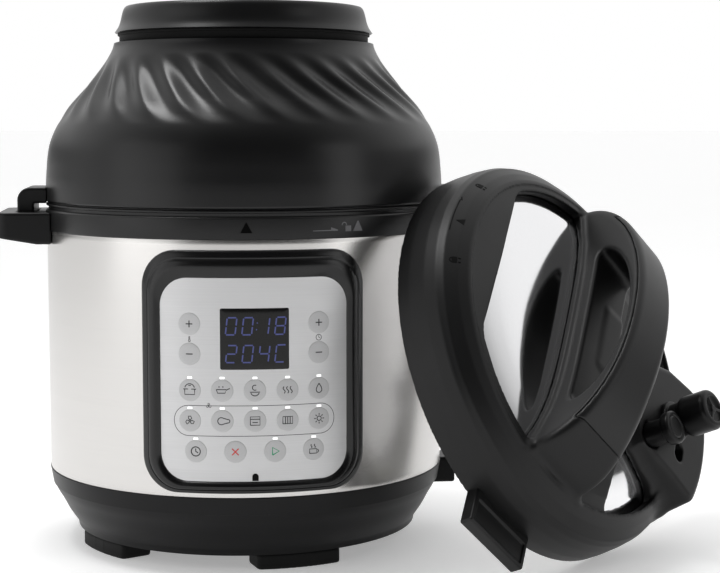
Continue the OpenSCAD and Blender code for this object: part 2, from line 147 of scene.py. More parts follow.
def cone(start, n, tip):
    """Faces from a ring of n points to the point with the number tip."""
    return [[start + k, start + (k + 1) % n, tip] for k in range(n)]


def prism_faces(n):
    """Faces of a prism whose n lower points come before its n upper ones."""
    return [list(range(n))[::-1], list(range(n, 2 * n))] + band(0, n, n)


def rounded(points, radius, steps=4):
    """A closed polyline with each corner cut back by radius and rounded."""
    pts = [Vector(p) for p in points]
    out = []
    for i, p in enumerate(pts):
        a, b = pts[i - 1], pts[(i + 1) % len(pts)]
        start, end = (p + (q - p).normalized() * min(radius, 0.45 * (q - p).length) for q in (a, b))
        for k in range(steps + 1):
            t = k / steps
            out.append(tuple(start * (1 - t) ** 2 + p * 2 * t * (1 - t) + end * t ** 2))
    return out


def resampled(points, gap):
    """An open polyline with points at most gap apart."""
    out = [points[0]]
    for a, b in zip(points, points[1:]):
        n = max(1, math.ceil(math.dist(a, b) / gap))
        out += [between(a, b, k / n) for k in range(1, n + 1)]
    return out


def smooth_curve(points, rounds=3):
    """Corner cutting on an open polyline, which leaves its two ends in place."""
    for _ in range(rounds):
        cuts = [between(a, b, share) for a, b in zip(points, points[1:]) for share in (0.25, 0.75)]
        points = [points[0]] + cuts + [points[-1]]
    return points


def lathe(profile, segments=256, closed=True, shape=None):
    """Turns a profile of (radius, height) about the axis. shape(r, z, angle) may change the radius."""
    points, faces, rings = [], [], []
    for r, z in profile:
        if r < 1e-6:
            rings.append([len(points)] * segments)
            points.append((0, 0, z))
            continue
        rings.append(list(range(len(points), len(points) + segments)))
        for k in range(segments):
            a = 2 * math.pi * k / segments
            rk = shape(r, z, a) if shape else r
            points.append((rk * math.sin(a), -rk * math.cos(a), z))
    for one, two in zip(rings, rings[1:] + rings[:1] if closed else rings[1:]):
        for k in range(segments):
            n = (k + 1) % segments
            face = list(dict.fromkeys([one[k], one[n], two[n], two[k]]))
            if len(face) > 2:
                faces.append(face)
    return points, faces


def on_drum(x, z, r, angle=0):
    """A point x millimetres along the drum of radius r from angle, at height z."""
    a = math.radians(angle) + x / r
    return (r * math.sin(a), -r * math.cos(a), z)


def outline(width, height, radius, centre=0, per_side=12, per_corner=12):
    """Points around a rounded rectangle, always in the same order and number."""
    w, h = width / 2 - radius, height / 2 - radius
    corners = []
    for cx, cz, start in ((w, h, 0), (-w, h, 90), (-w, -h, 180), (w, -h, 270)):
        corners.append(arc(cx, centre + cz, radius, start, start + 90, per_corner))
    out = []
    for one, two in zip(corners, corners[1:] + corners[:1]):
        out += one + [between(one[-1], two[0], k / per_side) for k in range(1, per_side)]
    return out


def arc(cx, cy, r, start=0, end=360, steps=24):
    turns = [math.radians(start + (end - start) * k / steps) for k in range(steps + 1)]
    return [(cx + r * math.cos(a), cy + r * math.sin(a)) for a in turns]


# ---------- solids from distance functions ----------

def smin(a, b, k):
    """Union of two distances with a fillet about k wide."""
    h = np.maximum(k - np.abs(a - b), 0) / k
    return np.minimum(a, b) - h * h * k / 4


def smax(a, b, k):
    """Intersection of two distances with a rounded edge about k wide."""
    return -smin(-a, -b, k)


def block(x, y, z, low, high, round_r=1.0):
    """Distance to a box with rounded edges."""
    out, inner = 0, -1e9
    for p, a, b in zip((x, y, z), low, high):
        q = np.abs(p - (a + b) / 2) - (b - a) / 2 + round_r
        out = out + np.maximum(q, 0) ** 2
        inner = np.maximum(inner, q)
    return np.sqrt(out) + np.minimum(inner, 0) - round_r


def inside_outline(x, y, points):
    """Distance to a closed outline in a plane, negative inside it."""
    best = np.full(np.shape(x), 1e9)
    sign = np.ones(np.shape(x))
    for (ax, ay), (bx, by) in zip(points, points[1:] + points[:1]):
        ex, ey = bx - ax, by - ay
        wx, wy = x - ax, y - ay
        t = np.clip((wx * ex + wy * ey) / (ex * ex + ey * ey), 0, 1)
        best = np.minimum(best, (wx - ex * t) ** 2 + (wy - ey * t) ** 2)
        cross = ex * wy > ey * wx
        above, below = y >= ay, y < by
        sign = np.where((above & below & cross) | (~above & ~below & ~cross), -sign, sign)
    return sign * np.sqrt(best)


def ellipse(x, y, a, b):
    """Nearly the distance to an ellipse."""
    one = np.sqrt((x / a) ** 2 + (y / b) ** 2)
    two = np.sqrt((x / a ** 2) ** 2 + (y / b ** 2) ** 2)
    return one * (one - 1) / np.maximum(two, 1e-6)


def skin(shape, low, high, step):
    """A closed mesh of the surface where shape(x, y, z) is 0, inside a box."""
    axes = [np.arange(a - 2 * step, b + 3 * step, step) for a, b in zip(low, high)]
    value = shape(*np.meshgrid(*axes, indexing="ij"))
    strides = np.array([value.shape[1] * value.shape[2], value.shape[2], 1])
    total = np.zeros((4, value.size))
    quads = []
    for axis in range(3):
        first, second = [slice(None)] * 3, [slice(None)] * 3
        first[axis], second[axis] = slice(0, -1), slice(1, None)
        v0, v1 = value[tuple(first)], value[tuple(second)]
        hit = np.argwhere((v0 < 0) != (v1 < 0))
        a, b = v0[tuple(hit.T)], v1[tuple(hit.T)]
        point = hit.astype(float)
        point[:, axis] += a / (a - b)
        u, w = (axis + 1) % 3, (axis + 2) % 3
        cells = []
        for du, dw in ((0, 0), (1, 0), (1, 1), (0, 1)):
            cell = hit.copy()
            cell[:, u] -= du
            cell[:, w] -= dw
            ids = cell @ strides
            cells.append(ids)
            for k in range(3):
                total[k] += np.bincount(ids, point[:, k], minlength=value.size)
            total[3] += np.bincount(ids, minlength=value.size)
        quad = np.stack(cells, 1)
        quad[a >= 0] = quad[a >= 0][:, ::-1]
        quads.append(quad)
    used = np.flatnonzero(total[3])
    index = np.zeros(value.size, int)
    index[used] = np.arange(len(used))
    points = (total[:3, used] / total[3, used]).T * step + np.array([a[0] for a in axes])
    nudge = step * 0.1
    for _ in range(2):
        here = shape(*points.T)
        rises = [shape(*(points + e).T) - shape(*(points - e).T) for e in np.eye(3) * nudge]
        slope = np.stack(rises, 1) / (2 * nudge)
        move = here / np.maximum((slope ** 2).sum(1), 0.05)
        points -= np.clip(move, -step / 2, step / 2)[:, None] * slope
    return points, index[np.concatenate(quads)]


def coarse(step):
    return step


# ---------- materials ----------

def material(name):
    mat = bpy.data.materials.new(name)
    mat.use_nodes = True
    nodes = mat.node_tree.nodes
    return mat, nodes, mat.node_tree.links, nodes["Principled BSDF"]


def noise(nodes, links, scale, detail=3, stretch=None):
    """Noise in object space, scale per metre. stretch multiplies the scale along X, Y and Z."""
    coords = nodes.new("ShaderNodeTexCoord")
    mapping = nodes.new("ShaderNodeMapping")
    mapping.inputs["Scale"].default_value = stretch or (1, 1, 1)
    links.new(coords.outputs["Object"], mapping.inputs["Vector"])
    tex = nodes.new("ShaderNodeTexNoise")
    tex.inputs["Scale"].default_value = scale
    tex.inputs["Detail"].default_value = detail
    links.new(mapping.outputs["Vector"], tex.inputs["Vector"])
    return tex.outputs["Fac"]


def ramp(nodes, links, source, low, high, target, a=0.3, b=0.7):
    """Runs a shader's input from low to high over the source's values from a to b."""
    node = nodes.new("ShaderNodeValToRGB")
    node.color_ramp.elements[0].position = a
    node.color_ramp.elements[1].position = b
    node.color_ramp.elements[0].color = (*low, 1)
    node.color_ramp.elements[1].color = (*high, 1)
    links.new(source, node.inputs["Fac"])
    links.new(node.outputs["Color"], target)


def bump(nodes, links, source, shader, strength, distance):
    node = nodes.new("ShaderNodeBump")
    node.inputs["Strength"].default_value = strength
    node.inputs["Distance"].default_value = distance
    links.new(source, node.inputs["Height"])
    links.new(node.outputs["Normal"], shader.inputs["Normal"])


def spread_round(colour, share):
    """The colour, that share darker and that share lighter."""
    return tuple(c * (1 - share) for c in colour), tuple(min(1, c * (1 + share)) for c in colour)


def plastic(name, colour, roughness=0.42, grain=2600, depth=0.25, specular=0.42):
    """Moulded plastic: fine spark-eroded grain, slow colour drift, handled patches a little glossier."""
    mat, nodes, links, shader = material(name)
    drift, patches = noise(nodes, links, 35, 2), noise(nodes, links, 14, 4)
    ramp(nodes, links, drift, *spread_round(colour, 0.12), shader.inputs["Base Color"])
    glossy, matt = (roughness - 0.04,) * 3, (roughness + 0.04,) * 3
    ramp(nodes, links, patches, glossy, matt, shader.inputs["Roughness"])
    bump(nodes, links, noise(nodes, links, grain, 2), shader, depth, 0.00006)
    shader.inputs["Specular IOR Level"].default_value = specular
    return mat


def metal(name, colour, roughness, stretch=None, grain=900, depth=0.15, metallic=1.0, spread=0.05,
          anisotropy=0, unevenness=0.12):
    """Metal, brushed where stretch says along which axes the scratches crowd."""
    mat, nodes, links, shader = material(name)
    scratches = noise(nodes, links, grain, 3, stretch)
    ramp(nodes, links, scratches, *spread_round(colour, spread), shader.inputs["Base Color"])
    clouds = noise(nodes, links, 25, 3, stretch and tuple(s ** 0.3 for s in stretch))
    ramp(nodes, links, clouds, *spread_round((roughness,) * 3, unevenness), shader.inputs["Roughness"])
    bump(nodes, links, scratches, shader, depth, 0.00004)
    shader.inputs["Metallic"].default_value = metallic
    if anisotropy:
        shader.inputs["Anisotropic"].default_value = anisotropy
        tangent = nodes.new("ShaderNodeTangent")
        tangent.direction_type = "RADIAL"
        tangent.axis = "Z"
        links.new(tangent.outputs["Tangent"], shader.inputs["Tangent"])
    return mat


def glowing(name, colour, strength, under=(0.02, 0.02, 0.02)):
    """A lit lamp, a little uneven over its face."""
    mat, nodes, links, shader = material(name)
    low = tuple(c * 0.85 for c in colour)
    ramp(nodes, links, noise(nodes, links, 700, 1), low, colour, shader.inputs["Emission Color"])
    shader.inputs["Emission Strength"].default_value = strength
    shader.inputs["Base Color"].default_value = (*under, 1)
    shader.inputs["Roughness"].default_value = 0.35
    return mat


def glass_black(name):
    mat, nodes, links, shader = material(name)
    smear = noise(nodes, links, 60, 4)
    ramp(nodes, links, smear, (0.004,) * 3, (0.008,) * 3, shader.inputs["Base Color"])
    ramp(nodes, links, smear, (0.12,) * 3, (0.2,) * 3, shader.inputs["Roughness"])
    shader.inputs["Specular IOR Level"].default_value = 0.3
    return mat


def print_ink(name, colour, roughness=0.5):
    mat, nodes, links, shader = material(name)
    low = tuple(c * 0.8 for c in colour)
    ramp(nodes, links, noise(nodes, links, 3000, 2), low, colour, shader.inputs["Base Color"])
    shader.inputs["Roughness"].default_value = roughness
    if roughness > 0.5:
        shader.inputs["Specular IOR Level"].default_value = 0.1
    return mat


def circuit_board(name):
    mat, nodes, links, shader = material(name)
    tracks = noise(nodes, links, 420, 0, (1, 1, 0.2))
    lacquer, copper = (0.01, 0.09, 0.03), (0.03, 0.2, 0.07)
    ramp(nodes, links, tracks, lacquer, copper, shader.inputs["Base Color"], 0.48, 0.52)
    bump(nodes, links, tracks, shader, 0.3, 0.00005)
    shader.inputs["Roughness"].default_value = 0.35
    return mat


def pale_floor(name):
    mat, nodes, links, shader = material(name)
    ramp(nodes, links, noise(nodes, links, 2, 3), (0.9,) * 3, (0.93,) * 3, shader.inputs["Base Color"])
    shader.inputs["Roughness"].default_value = 0.75
    shader.inputs["Emission Color"].default_value = (1, 1, 1, 1)
    shader.inputs["Emission Strength"].default_value = 0.33
    return mat


AROUND = (1, 1, 300)    # brushed round the cooker's axis
BLACK = (0.0035, 0.0035, 0.0038)
M = {
    "fryer": plastic("Fryer_lid_plastic", BLACK, 0.33, 2400, 0.15, 0.36),
    "cap": plastic("Fryer_cap_plastic", BLACK, 0.34, 2400, 0.15, 0.36),
    # Vent: black plastic, made darker and less shiny than the rest as painted shade for the recess under
    # the cap.
    "vent": plastic("Vent_plastic_painted_shade", (0.0015, 0.0015, 0.0015), 0.6, 1500, 0.2, 0.12),
    "base": plastic("Base_plastic", (0.003, 0.003, 0.0034), 0.4, 2200, 0.2, 0.22),
    "collar": plastic("Collar_plastic", (0.0045, 0.0045, 0.0048), 0.36, 2600, 0.2, 0.36),
    "handle": plastic("Handle_plastic", BLACK, 0.4, 2200, 0.2, 0.25),
    "bezel": plastic("Bezel_plastic", BLACK, 0.24, 2600, 0.06, 0.42),
    "lid": plastic("Lid_plastic", (0.004, 0.004, 0.0042), 0.42, 2200, 0.25, 0.3),
    "lid_grip": plastic("Lid_grip_plastic", (0.0055, 0.0055, 0.0057), 0.4, 2200, 0.25, 0.36),
    "valve": plastic("Valve_plastic", (0.002, 0.002, 0.0022), 0.36, 2600, 0.15, 0.25),
    "rubber": plastic("Foot_rubber", (0.005, 0.005, 0.005), 0.6, 1400, 0.4, 0.2),
    "mark_black": print_ink("Collar_mark_black", (0.0008, 0.0008, 0.0008), 0.9),
    "mark": print_ink("Moulded_mark_black", (0.002, 0.002, 0.002), 0.6),
    "mark_grey": print_ink("Collar_mark_grey", (0.12, 0.12, 0.125)),
    "shell": metal("Brushed_steel", (0.63, 0.617, 0.602), 0.25, AROUND, 2, 0.02, 1.0, 0.012, 0.6, 0.03),
    "panel": metal("Panel_silver", (0.68, 0.68, 0.685), 0.42, AROUND, 11, 0.08, 0.6, 0.03),
    "key": metal("Key_grey", (0.57, 0.57, 0.575), 0.55, None, 4200, 0.25, 0.3, 0.06),
    "ink": print_ink("Print_grey", (0.022, 0.022, 0.024)),
    "ink_red": print_ink("Print_red", (0.72, 0.045, 0.04)),
    "ink_green": print_ink("Print_green", (0.01, 0.36, 0.16)),
    "glass": glass_black("Display_glass"),
    "digit": glowing("Display_digits", (0.07, 0.09, 0.36), 0.55),
    "lamp": glowing("Indicator_lamps", (1.0, 1.0, 1.0), 0.9, (0.8, 0.8, 0.8)),
    "mirror": metal("Polished_steel", (0.82, 0.82, 0.83), 0.085, None, 500, 0.02, 1.0, 0.01),
    "pot": metal("Pot_steel", (0.7, 0.7, 0.7), 0.22, AROUND, 9, 0.12, 1.0, 0.03, 0.4),
    "liner": metal("Liner_aluminium", (0.6, 0.61, 0.62), 0.36, AROUND, 9, 0.15),
    "cast": metal("Heater_aluminium", (0.55, 0.56, 0.57), 0.42, None, 1300, 0.35),
    "spring": metal("Spring_steel", (0.5, 0.5, 0.52), 0.25, None, 2500, 0.1),
    "screw": metal("Screw_steel", (0.45, 0.46, 0.48), 0.3, None, 2500, 0.15),
    "coil": metal("Coil_steel", (0.09, 0.09, 0.095), 0.45, None, 1500, 0.3),
    "guard": metal("Guard_steel", (0.62, 0.62, 0.63), 0.2, None, 1200, 0.05),
    "reflector": metal("Reflector_steel", (0.6, 0.61, 0.62), 0.25, AROUND, 9, 0.1),
    "motor": metal("Motor_steel", (0.4, 0.41, 0.43), 0.35, (1, 1, 8), 300, 0.2),
    "fan": metal("Fan_aluminium", (0.58, 0.59, 0.6), 0.3, None, 1000, 0.15),
    "brass": metal("Contact_brass", (0.72, 0.5, 0.2), 0.3, None, 2500, 0.1),
    "pin": metal("Float_pin_steel", (0.66, 0.66, 0.67), 0.18, None, 2500, 0.05),
    "silicone": plastic("Seal_silicone", (0.55, 0.55, 0.52), 0.5, 900, 0.2, 0.35),
    "cup": plastic("Collector_plastic", (0.035, 0.036, 0.038), 0.25, 1800, 0.1, 0.5),
    "board": circuit_board("Circuit_board"),
}


# ---------- cooker body ----------

COLLAR_R = reach_of("top_collar")
COLLAR_TOP = top_of("top_collar")
SHELL_R = span("outer_shell")[1].x
SHELL_LOW = bottom_of("outer_shell")
SHELL_TOP = top_of("outer_shell")
BEZEL_LOW, BEZEL_HIGH = bottom_of("panel_bezel"), top_of("panel_bezel")
BEZEL_H = BEZEL_HIGH - BEZEL_LOW + 2.4
BEZEL_MID = BEZEL_HIGH - BEZEL_H / 2
BEZEL_W = 156
FACE_LOW, FACE_HIGH = bottom_of("panel_face"), top_of("panel_face")
FACE_H = FACE_HIGH - FACE_LOW + 1.2
FACE_MID = FACE_HIGH - 0.6 - FACE_H / 2
FACE_W = 128.4
FACE_R = -span("panel_face")[0].y
WINDOW_LOW, WINDOW_HIGH = bottom_of("display_window"), top_of("display_window")
WINDOW_MID = (WINDOW_LOW + WINDOW_HIGH) / 2
WINDOW_H = WINDOW_HIGH - WINDOW_LOW
WINDOW_W = 46
CUT_OUT = (68, 73)      # half the width and height of the opening behind the panel
FINE_TURN = 288         # steps round the widest turned pieces


def steel_shell():
    """Rolled sheet with hemmed edges, and a cut-out behind the panel."""
    segments = 720
    rows = resampled([(SHELL_R, SHELL_LOW + 0.8), (SHELL_R, SHELL_TOP - 0.8)], 3)
    profile = [(SHELL_R - 0.7, SHELL_LOW), (SHELL_R - 0.15, SHELL_LOW + 0.3)] + rows
    profile += [(SHELL_R - 0.15, SHELL_TOP - 0.3), (SHELL_R - 0.7, SHELL_TOP)]
    points, faces = lathe(profile, segments, closed=False)
    kept = []
    for face in faces:
        x, y, z = np.mean([points[i] for i in face], 0)
        across = abs(math.atan2(x, -y)) * SHELL_R
        if across >= CUT_OUT[0] or abs(z - BEZEL_MID) >= CUT_OUT[1]:
            kept.append(face)
    sheet = piece("Steel_shell", points, kept, "base", "shell", "outer_shell", "shell_steel",
                  closed=False)
    thicken(sheet, 0.8)


def thicken(obj, depth):
    """Makes a closed plate of a sheet, by that depth behind it."""
    plate = obj.modifiers.new("Plate", "SOLIDIFY")
    plate.thickness = depth * MM
    plate.offset = -1
    bake(obj)


def bake(obj):
    """Applies the modifiers for good."""
    graph = bpy.context.evaluated_depsgraph_get()
    obj.data = bpy.data.meshes.new_from_object(obj.evaluated_get(graph))
    obj.modifiers.clear()
    obj.data.set_sharp_from_angle(angle=math.radians(35))


def base_housing():
    """Base of the cooker, with its floor slots and the socket's opening."""
    low = bottom_of("base_housing")
    side = smooth_curve([(125.2, low), (125.7, 14), (127.5, 16.5), (132.7, 24), (137, 32.5), (140.5, 38),
                         (142.3, 42.2)], 2)
    step = [(142.4, 42.5), (143.2, 42.7), (144.1, 48), (145.2, 54.2), (145, SHELL_LOW)]
    inner = [(141.5, SHELL_LOW), (140.6, 48), (138.6, 42), (133.5, 33), (129.5, 26), (124, 17.5),
             (121, low + 3), (20, low + 3)]
    profile = [(20, low)] + side + step + inner
    bowl = lathe(profile, FINE_TURN)
    obj = piece("Base_housing", *bowl, "base", "base", "base_housing", "base_plastic")
    slot = Vector((-2.5, -76, low - 2)), Vector((2.5, -34, low + 6))
    cutters = [box_cutter(slot, 0, turn) for turn in range(0, 360, 45)]
    cut(obj, [box_cutter(span("power_inlet"), 0.2)] + cutters)


def box_cutter(corners, grow, turn=0):
    """A box between two corners, grown on every side and turned about the cooker's axis."""
    low, high = corners
    bm = bmesh.new()
    bmesh.ops.create_cube(bm, size=1)
    size = (high - low + Vector((grow,) * 3) * 2) * MM
    spin = Matrix.Rotation(math.radians(turn), 4, "Z")
    place = spin @ Matrix.Translation((low + high) / 2 * MM) @ Matrix.Diagonal((*size, 1))
    bmesh.ops.transform(bm, verts=bm.verts, matrix=place)
    mesh = bpy.data.meshes.new("Cutter")
    bm.to_mesh(mesh)
    bm.free()
    return bpy.data.objects.new("Cutter", mesh)


def cut(obj, cutters):
    """Cuts the cutters out of obj for good, and removes them."""
    for c in cutters:
        bpy.context.scene.collection.objects.link(c)
        mod = obj.modifiers.new("Cut", "BOOLEAN")
        mod.object = c
        mod.solver = "EXACT"
    bake(obj)
    for c in cutters:
        bpy.data.objects.remove(c)


def collar():
    """Ring over the shell's upper edge, with its raised marks."""
    low, high = SHELL_TOP, COLLAR_TOP
    profile = rounded([
        (COLLAR_R, low), (COLLAR_R, high - 1.2), (144.5, high), (133.4, high), (131, high - 2),
        (131, 222), (134, 222), (134, high - 5), (141.6, high - 5), (141.6, low - 4), (143.9, low - 4),
        (143.9, low)], 0.5, 3)
    piece("Top_collar", *lathe(profile, FINE_TURN), "base", "collar", "top_collar", "collar_plastic")
    mid = (low + high) / 2
    front = prism_on([(-4, -3.2), (4, -3.2), (0, 4.2)], mid, COLLAR_R, 0.45, -2)
    piece("Collar_mark_front", *front, "base", "mark_black", slot="collar_plastic")
    arrow = [(-9, -2.6), (9, -2.6), (9, -1.9), (4, -0.2), (4, -1.9), (-9, -2.1)]
    lock = [(-2.2, -3.2), (2.2, -3.2), (2.2, 0.6), (-2.2, 0.6)]
    wedge = [(-3.8, -3.2), (3.8, -3.2), (0.6, 3.6), (-0.6, 3.6)]
    parts = [prism_on(shape, mid, COLLAR_R, 0.3, angle)
             for shape, angle in ((arrow, 19.3), (lock, 26), (wedge, 29))]
    parts.append(ribbon_on(arc(-3.1, 1.2, 1.7, -10, 190, 8), 0.7, mid, COLLAR_R, 0.3, 26))
    piece("Collar_marks_lock", *join(parts), "base", "mark_grey", slot="collar_plastic")


def prism_on(shape, z, r, rise, angle=0):
    """A flat shape, printed or moulded on the drum of radius r, standing out by rise."""
    points = [on_drum(x, z + y, height, angle) for height in (r - 0.1, r + rise) for x, y in shape]
    return points, prism_faces(len(shape))


def ribbon(points, width, closed=False):
    """Left and right edges of a line of that width."""
    left, right = [], []
    n = len(points)
    for i, p in enumerate(points):
        a = points[(i - 1) % n] if closed or i else p
        b = points[(i + 1) % n] if closed or i < n - 1 else p
        d = Vector((b[0] - a[0], b[1] - a[1])).normalized()
        side = Vector((-d.y, d.x)) * width / 2
        left.append((p[0] + side.x, p[1] + side.y))
        right.append((p[0] - side.x, p[1] - side.y))
    return left, right


def ribbon_on(points, width, z, r, rise, angle=0, closed=False):
    """A printed line on the drum of radius r."""
    left, right = ribbon(points, width, closed)
    n = len(points)
    out = [on_drum(x, z + y, height, angle) for height in (r - 0.1, r + rise) for x, y in left + right]
    faces = []
    for k in range(n if closed else n - 1):
        m = (k + 1) % n
        faces += [[2 * n + k, 3 * n + k, 3 * n + m, 2 * n + m], [k, m, n + m, n + k],
                  [k, 2 * n + k, 2 * n + m, m], [n + k, n + m, 3 * n + m, 3 * n + k]]
    if not closed:
        faces += [[k, n + k, 3 * n + k, 2 * n + k] for k in (0, n - 1)]
    return out, faces


# ---------- feet, handles and fins, from distance functions ----------

FOOT_ANGLES = (-60, 15, 120, 195)
FOOT_TOP = top_of("feet")


def feet():
    """Four curved blocks under the base, each with a rib that points outward."""
    parts = []
    for turn in FOOT_ANGLES:
        a = math.radians(turn)

        def foot(x, y, z):
            across = x * math.cos(a) + y * math.sin(a)
            rho = np.hypot(x, y)
            body = smax(np.abs(across) - 30, np.abs(rho - 114.05) - 11.05, 3)
            body = smax(body, np.abs(z - 5.2) - 5.2, 1.6)
            outward = x * math.sin(a) - y * math.cos(a)
            rib = block(across, outward, z, (-8, 108, 1), (8, 125.1, 10.4), 1)
            return np.minimum(body, rib)

        cx, cy = 114 * math.sin(a), -114 * math.cos(a)
        parts.append(skin(foot, (cx - 40, cy - 40, 0), (cx + 40, cy + 40, FOOT_TOP), coarse(1.1)))
    piece("Feet", *join(parts), "base", "rubber", "feet", "foot_rubber", sharp=None)


HANDLE_REACH = -span("left_handle")[0].x
HANDLE_LOW, HANDLE_HIGH = bottom_of("left_handle"), top_of("left_handle")
HANDLE_HALF = span("left_handle")[1].y


def handle(x, y, z):
    """Carrying handle on the +X side, with a pocket for a lid's fin."""
    end = HANDLE_REACH
    side = [(120, HANDLE_LOW), (150, HANDLE_LOW), (end - 1, HANDLE_LOW + 5.2), (end, HANDLE_LOW + 6.6),
            (end, 235.6), (end - 5, HANDLE_HIGH), (120, HANDLE_HIGH)]
    plan = block(x, y, 0 * z, (100, -HANDLE_HALF, -50), (end, HANDLE_HALF, 50), 12)
    body = smax(inside_outline(x, z, side), plan, 1.6)
    body = smax(body, COLLAR_R + 0.05 - np.hypot(x, y), 0.8)
    pocket = block(x, y, z, (151.5, -25.2, 229), (165.9, 25.2, 260), 1)
    return smax(body, -pocket, 1)


def fin(x, y, z):
    """Hooked fin of the air-frying lid, on the +X side."""
    low, high = bottom_of("fryer_lid_fin"), top_of("fryer_lid_fin")
    reach = span("fryer_lid_fin")[1].x
    side = [(130, 247), (reach - 12, 247), (reach - 12, low), (reach, low), (reach, high), (130, high)]
    hook = inside_outline(x, z, side)
    corner = np.hypot(np.maximum(x - (reach - 9.5), 0), np.maximum(z - (high - 9.5), 0)) - 9.5
    body = smax(smax(hook, corner, 0.5), np.abs(y) - 24, 1.8)
    return smax(body, 145.45 - np.hypot(x, y), 0.4)


def handles_and_fins():
    """The handles and the fins at both sides, of which those at -X are mirrored."""
    for node, body, shape in (("left_handle", "base", handle), ("right_handle", "base", handle),
                              ("fryer_lid_fin", "fryer_lid", fin), ("fryer_lid_plug", "fryer_lid", fin)):
        low, high = span(node)
        mirrored = high.x < 0
        reach = -low.x if mirrored else high.x
        points, faces = skin(shape, (138, low.y, low.z), (reach, high.y, high.z), coarse(0.8))
        if mirrored:
            points = points * np.array([-1, 1, 1])
            faces = faces[:, ::-1]
        piece(node.title(), points, faces, body, "handle", node, "collar_plastic", sharp=None)


# ---------- control panel ----------

def bezel():
    """Pillow-shaped black frame that follows the body's curve."""
    outer = outline(BEZEL_W, BEZEL_H, 25, BEZEL_MID, 24, 16)
    inner = outline(FACE_W, FACE_H, 19, FACE_MID, 24, 16)
    rise = [(0, -0.6), (0, 0.9), (0.02, 1.7), (0.08, 2.2), (0.2, 2.9), (0.27, 3.3), (0.3, 3.1),
            (0.34, 3.6), (0.42, 4.3), (0.54, 4.68), (0.66, 4.6), (0.8, 4.1), (0.92, 3.2), (0.985, 2.4),
            (1, 1.9), (1, -0.6)]
    points = [on_drum(*between(a, b, share), SHELL_R + height)
              for share, height in rise for a, b in zip(outer, inner)]
    faces = layers(len(rise), len(outer), closed=True)
    piece("Panel_bezel", points, faces, "base", "bezel", "panel_bezel", "bezel_plastic", sharp=50)
    notch = arc(0, 1.4, 2.1, 0, 180, 12) + [(-2.1, -1.5), (2.1, -1.5)]
    piece("Panel_notch", *prism_on(notch, FACE_LOW, FACE_R, 0.35), "base", "mark", slot="bezel_plastic")


def key_place(key):
    """Angle and height of a key, from its own CAD node."""
    low, high = span(key)
    centre = (low + high) / 2
    return math.degrees(math.atan2(centre.x, -centre.y)), centre.z


KEY_PLACES = {k: key_place(k) for k in KEYS}
KEY_R = 7.4
KEY_FRONT = 147.5
LAMP_KEYS = [k for k in KEYS if not k.endswith(("up", "down", "cancel"))]
LAMP_RISE = 8.5
SHEET_GRID = 5
LAMP = [(-1.6, -0.75), (1.6, -0.75), (1.6, 0.75), (-1.6, 0.75)]


def panel_holes():
    """Outlines of the openings for the keys, the lamps and the window, on the unrolled sheet."""
    holes = []
    for key, (angle, z) in KEY_PLACES.items():
        x = math.radians(angle) * FACE_R
        holes.append(arc(x, z, KEY_R + 0.05, 0, 360, 48)[:-1])
        if key in LAMP_KEYS:
            holes.append([(x + a, z + LAMP_RISE + b) for a, b in LAMP])
    return holes + [outline(WINDOW_W, WINDOW_H, 1, WINDOW_MID, 6, 3)]


def panel_face():
    """Silver film plate: one curved sheet with holes for the keys, the window and the lamps."""
    holes = panel_holes()
    edge = outline(FACE_W + 0.4, FACE_H + 0.4, 19, FACE_MID, 24, 12)
    points, edges = [], []
    for loop in [edge] + holes:
        start = len(points)
        points += loop
        edges += [(start + k, start + (k + 1) % len(loop)) for k in range(len(loop))]
    grid = np.mgrid[0:int(FACE_W / SHEET_GRID) + 1, 0:int(FACE_H / SHEET_GRID) + 1].reshape(2, -1)
    points += [(0.3 + i * SHEET_GRID - FACE_W / 2, 0.3 + j * SHEET_GRID + FACE_LOW) for i, j in grid.T]
    flat = delaunay_2d_cdt([Vector(p) for p in points], edges, [], 0, 1e-4)
    verts, tris = [tuple(v) for v in flat[0]], flat[2]
    centres = np.array([np.mean([verts[i] for i in t], 0) for t in tris])
    keep = inside_outline(centres[:, 0], centres[:, 1], edge) < 0
    for hole in holes:
        keep &= inside_outline(centres[:, 0], centres[:, 1], hole) > 0
    faces = [anticlockwise(t, verts) for t, k in zip(tris, keep) if k]
    used = sorted({i for t in faces for i in t})
    index = {i: n for n, i in enumerate(used)}
    obj = piece("Panel_face", [on_drum(*verts[i], FACE_R) for i in used],
                [[index[i] for i in t] for t in faces], "base", "panel", "panel_face", "panel_silver",
                closed=False)
    thicken(obj, 1.1)


def anticlockwise(face, verts):
    (ax, ay), (bx, by), (cx, cy) = (verts[i] for i in face)
    return face if (bx - ax) * (cy - ay) > (by - ay) * (cx - ax) else face[::-1]


def disc_on(angle, z, rings, steps=48):
    """A disc on the drum: rings of (radius, drum radius), from the middle of its face to its back."""
    points = []
    for rho, r in rings:
        points += [on_drum(x, z + y, r, angle) for x, y in arc(0, 0, rho, 0, 360, steps)[:-1]]
    points += [on_drum(0, z, r, angle) for r in (rings[0][1], rings[-1][1])]
    count = len(rings)
    ends = cone(0, steps, count * steps) + cone((count - 1) * steps, steps, count * steps + 1)
    return points, layers(count, steps) + ends


def wave(x, low=-2.3, high=2.3, swing=0.7, steps=14):
    return [(x + swing * math.sin(2 * math.pi * k / steps), low + (high - low) * k / steps)
            for k in range(steps + 1)]


def rays(inner, outer, count):
    ends = zip(*(arc(0, 0, r, 0, 360, count)[:-1] for r in (inner, outer)))
    return [list(ray) for ray in ends]


def turned(line, a):
    return [(x * math.cos(a) - y * math.sin(a), x * math.sin(a) + y * math.cos(a)) for x, y in line]


def box_line(x0, y0, x1, y1):
    return [(x0, y0), (x1, y0), (x1, y1), (x0, y1), (x0, y0)]


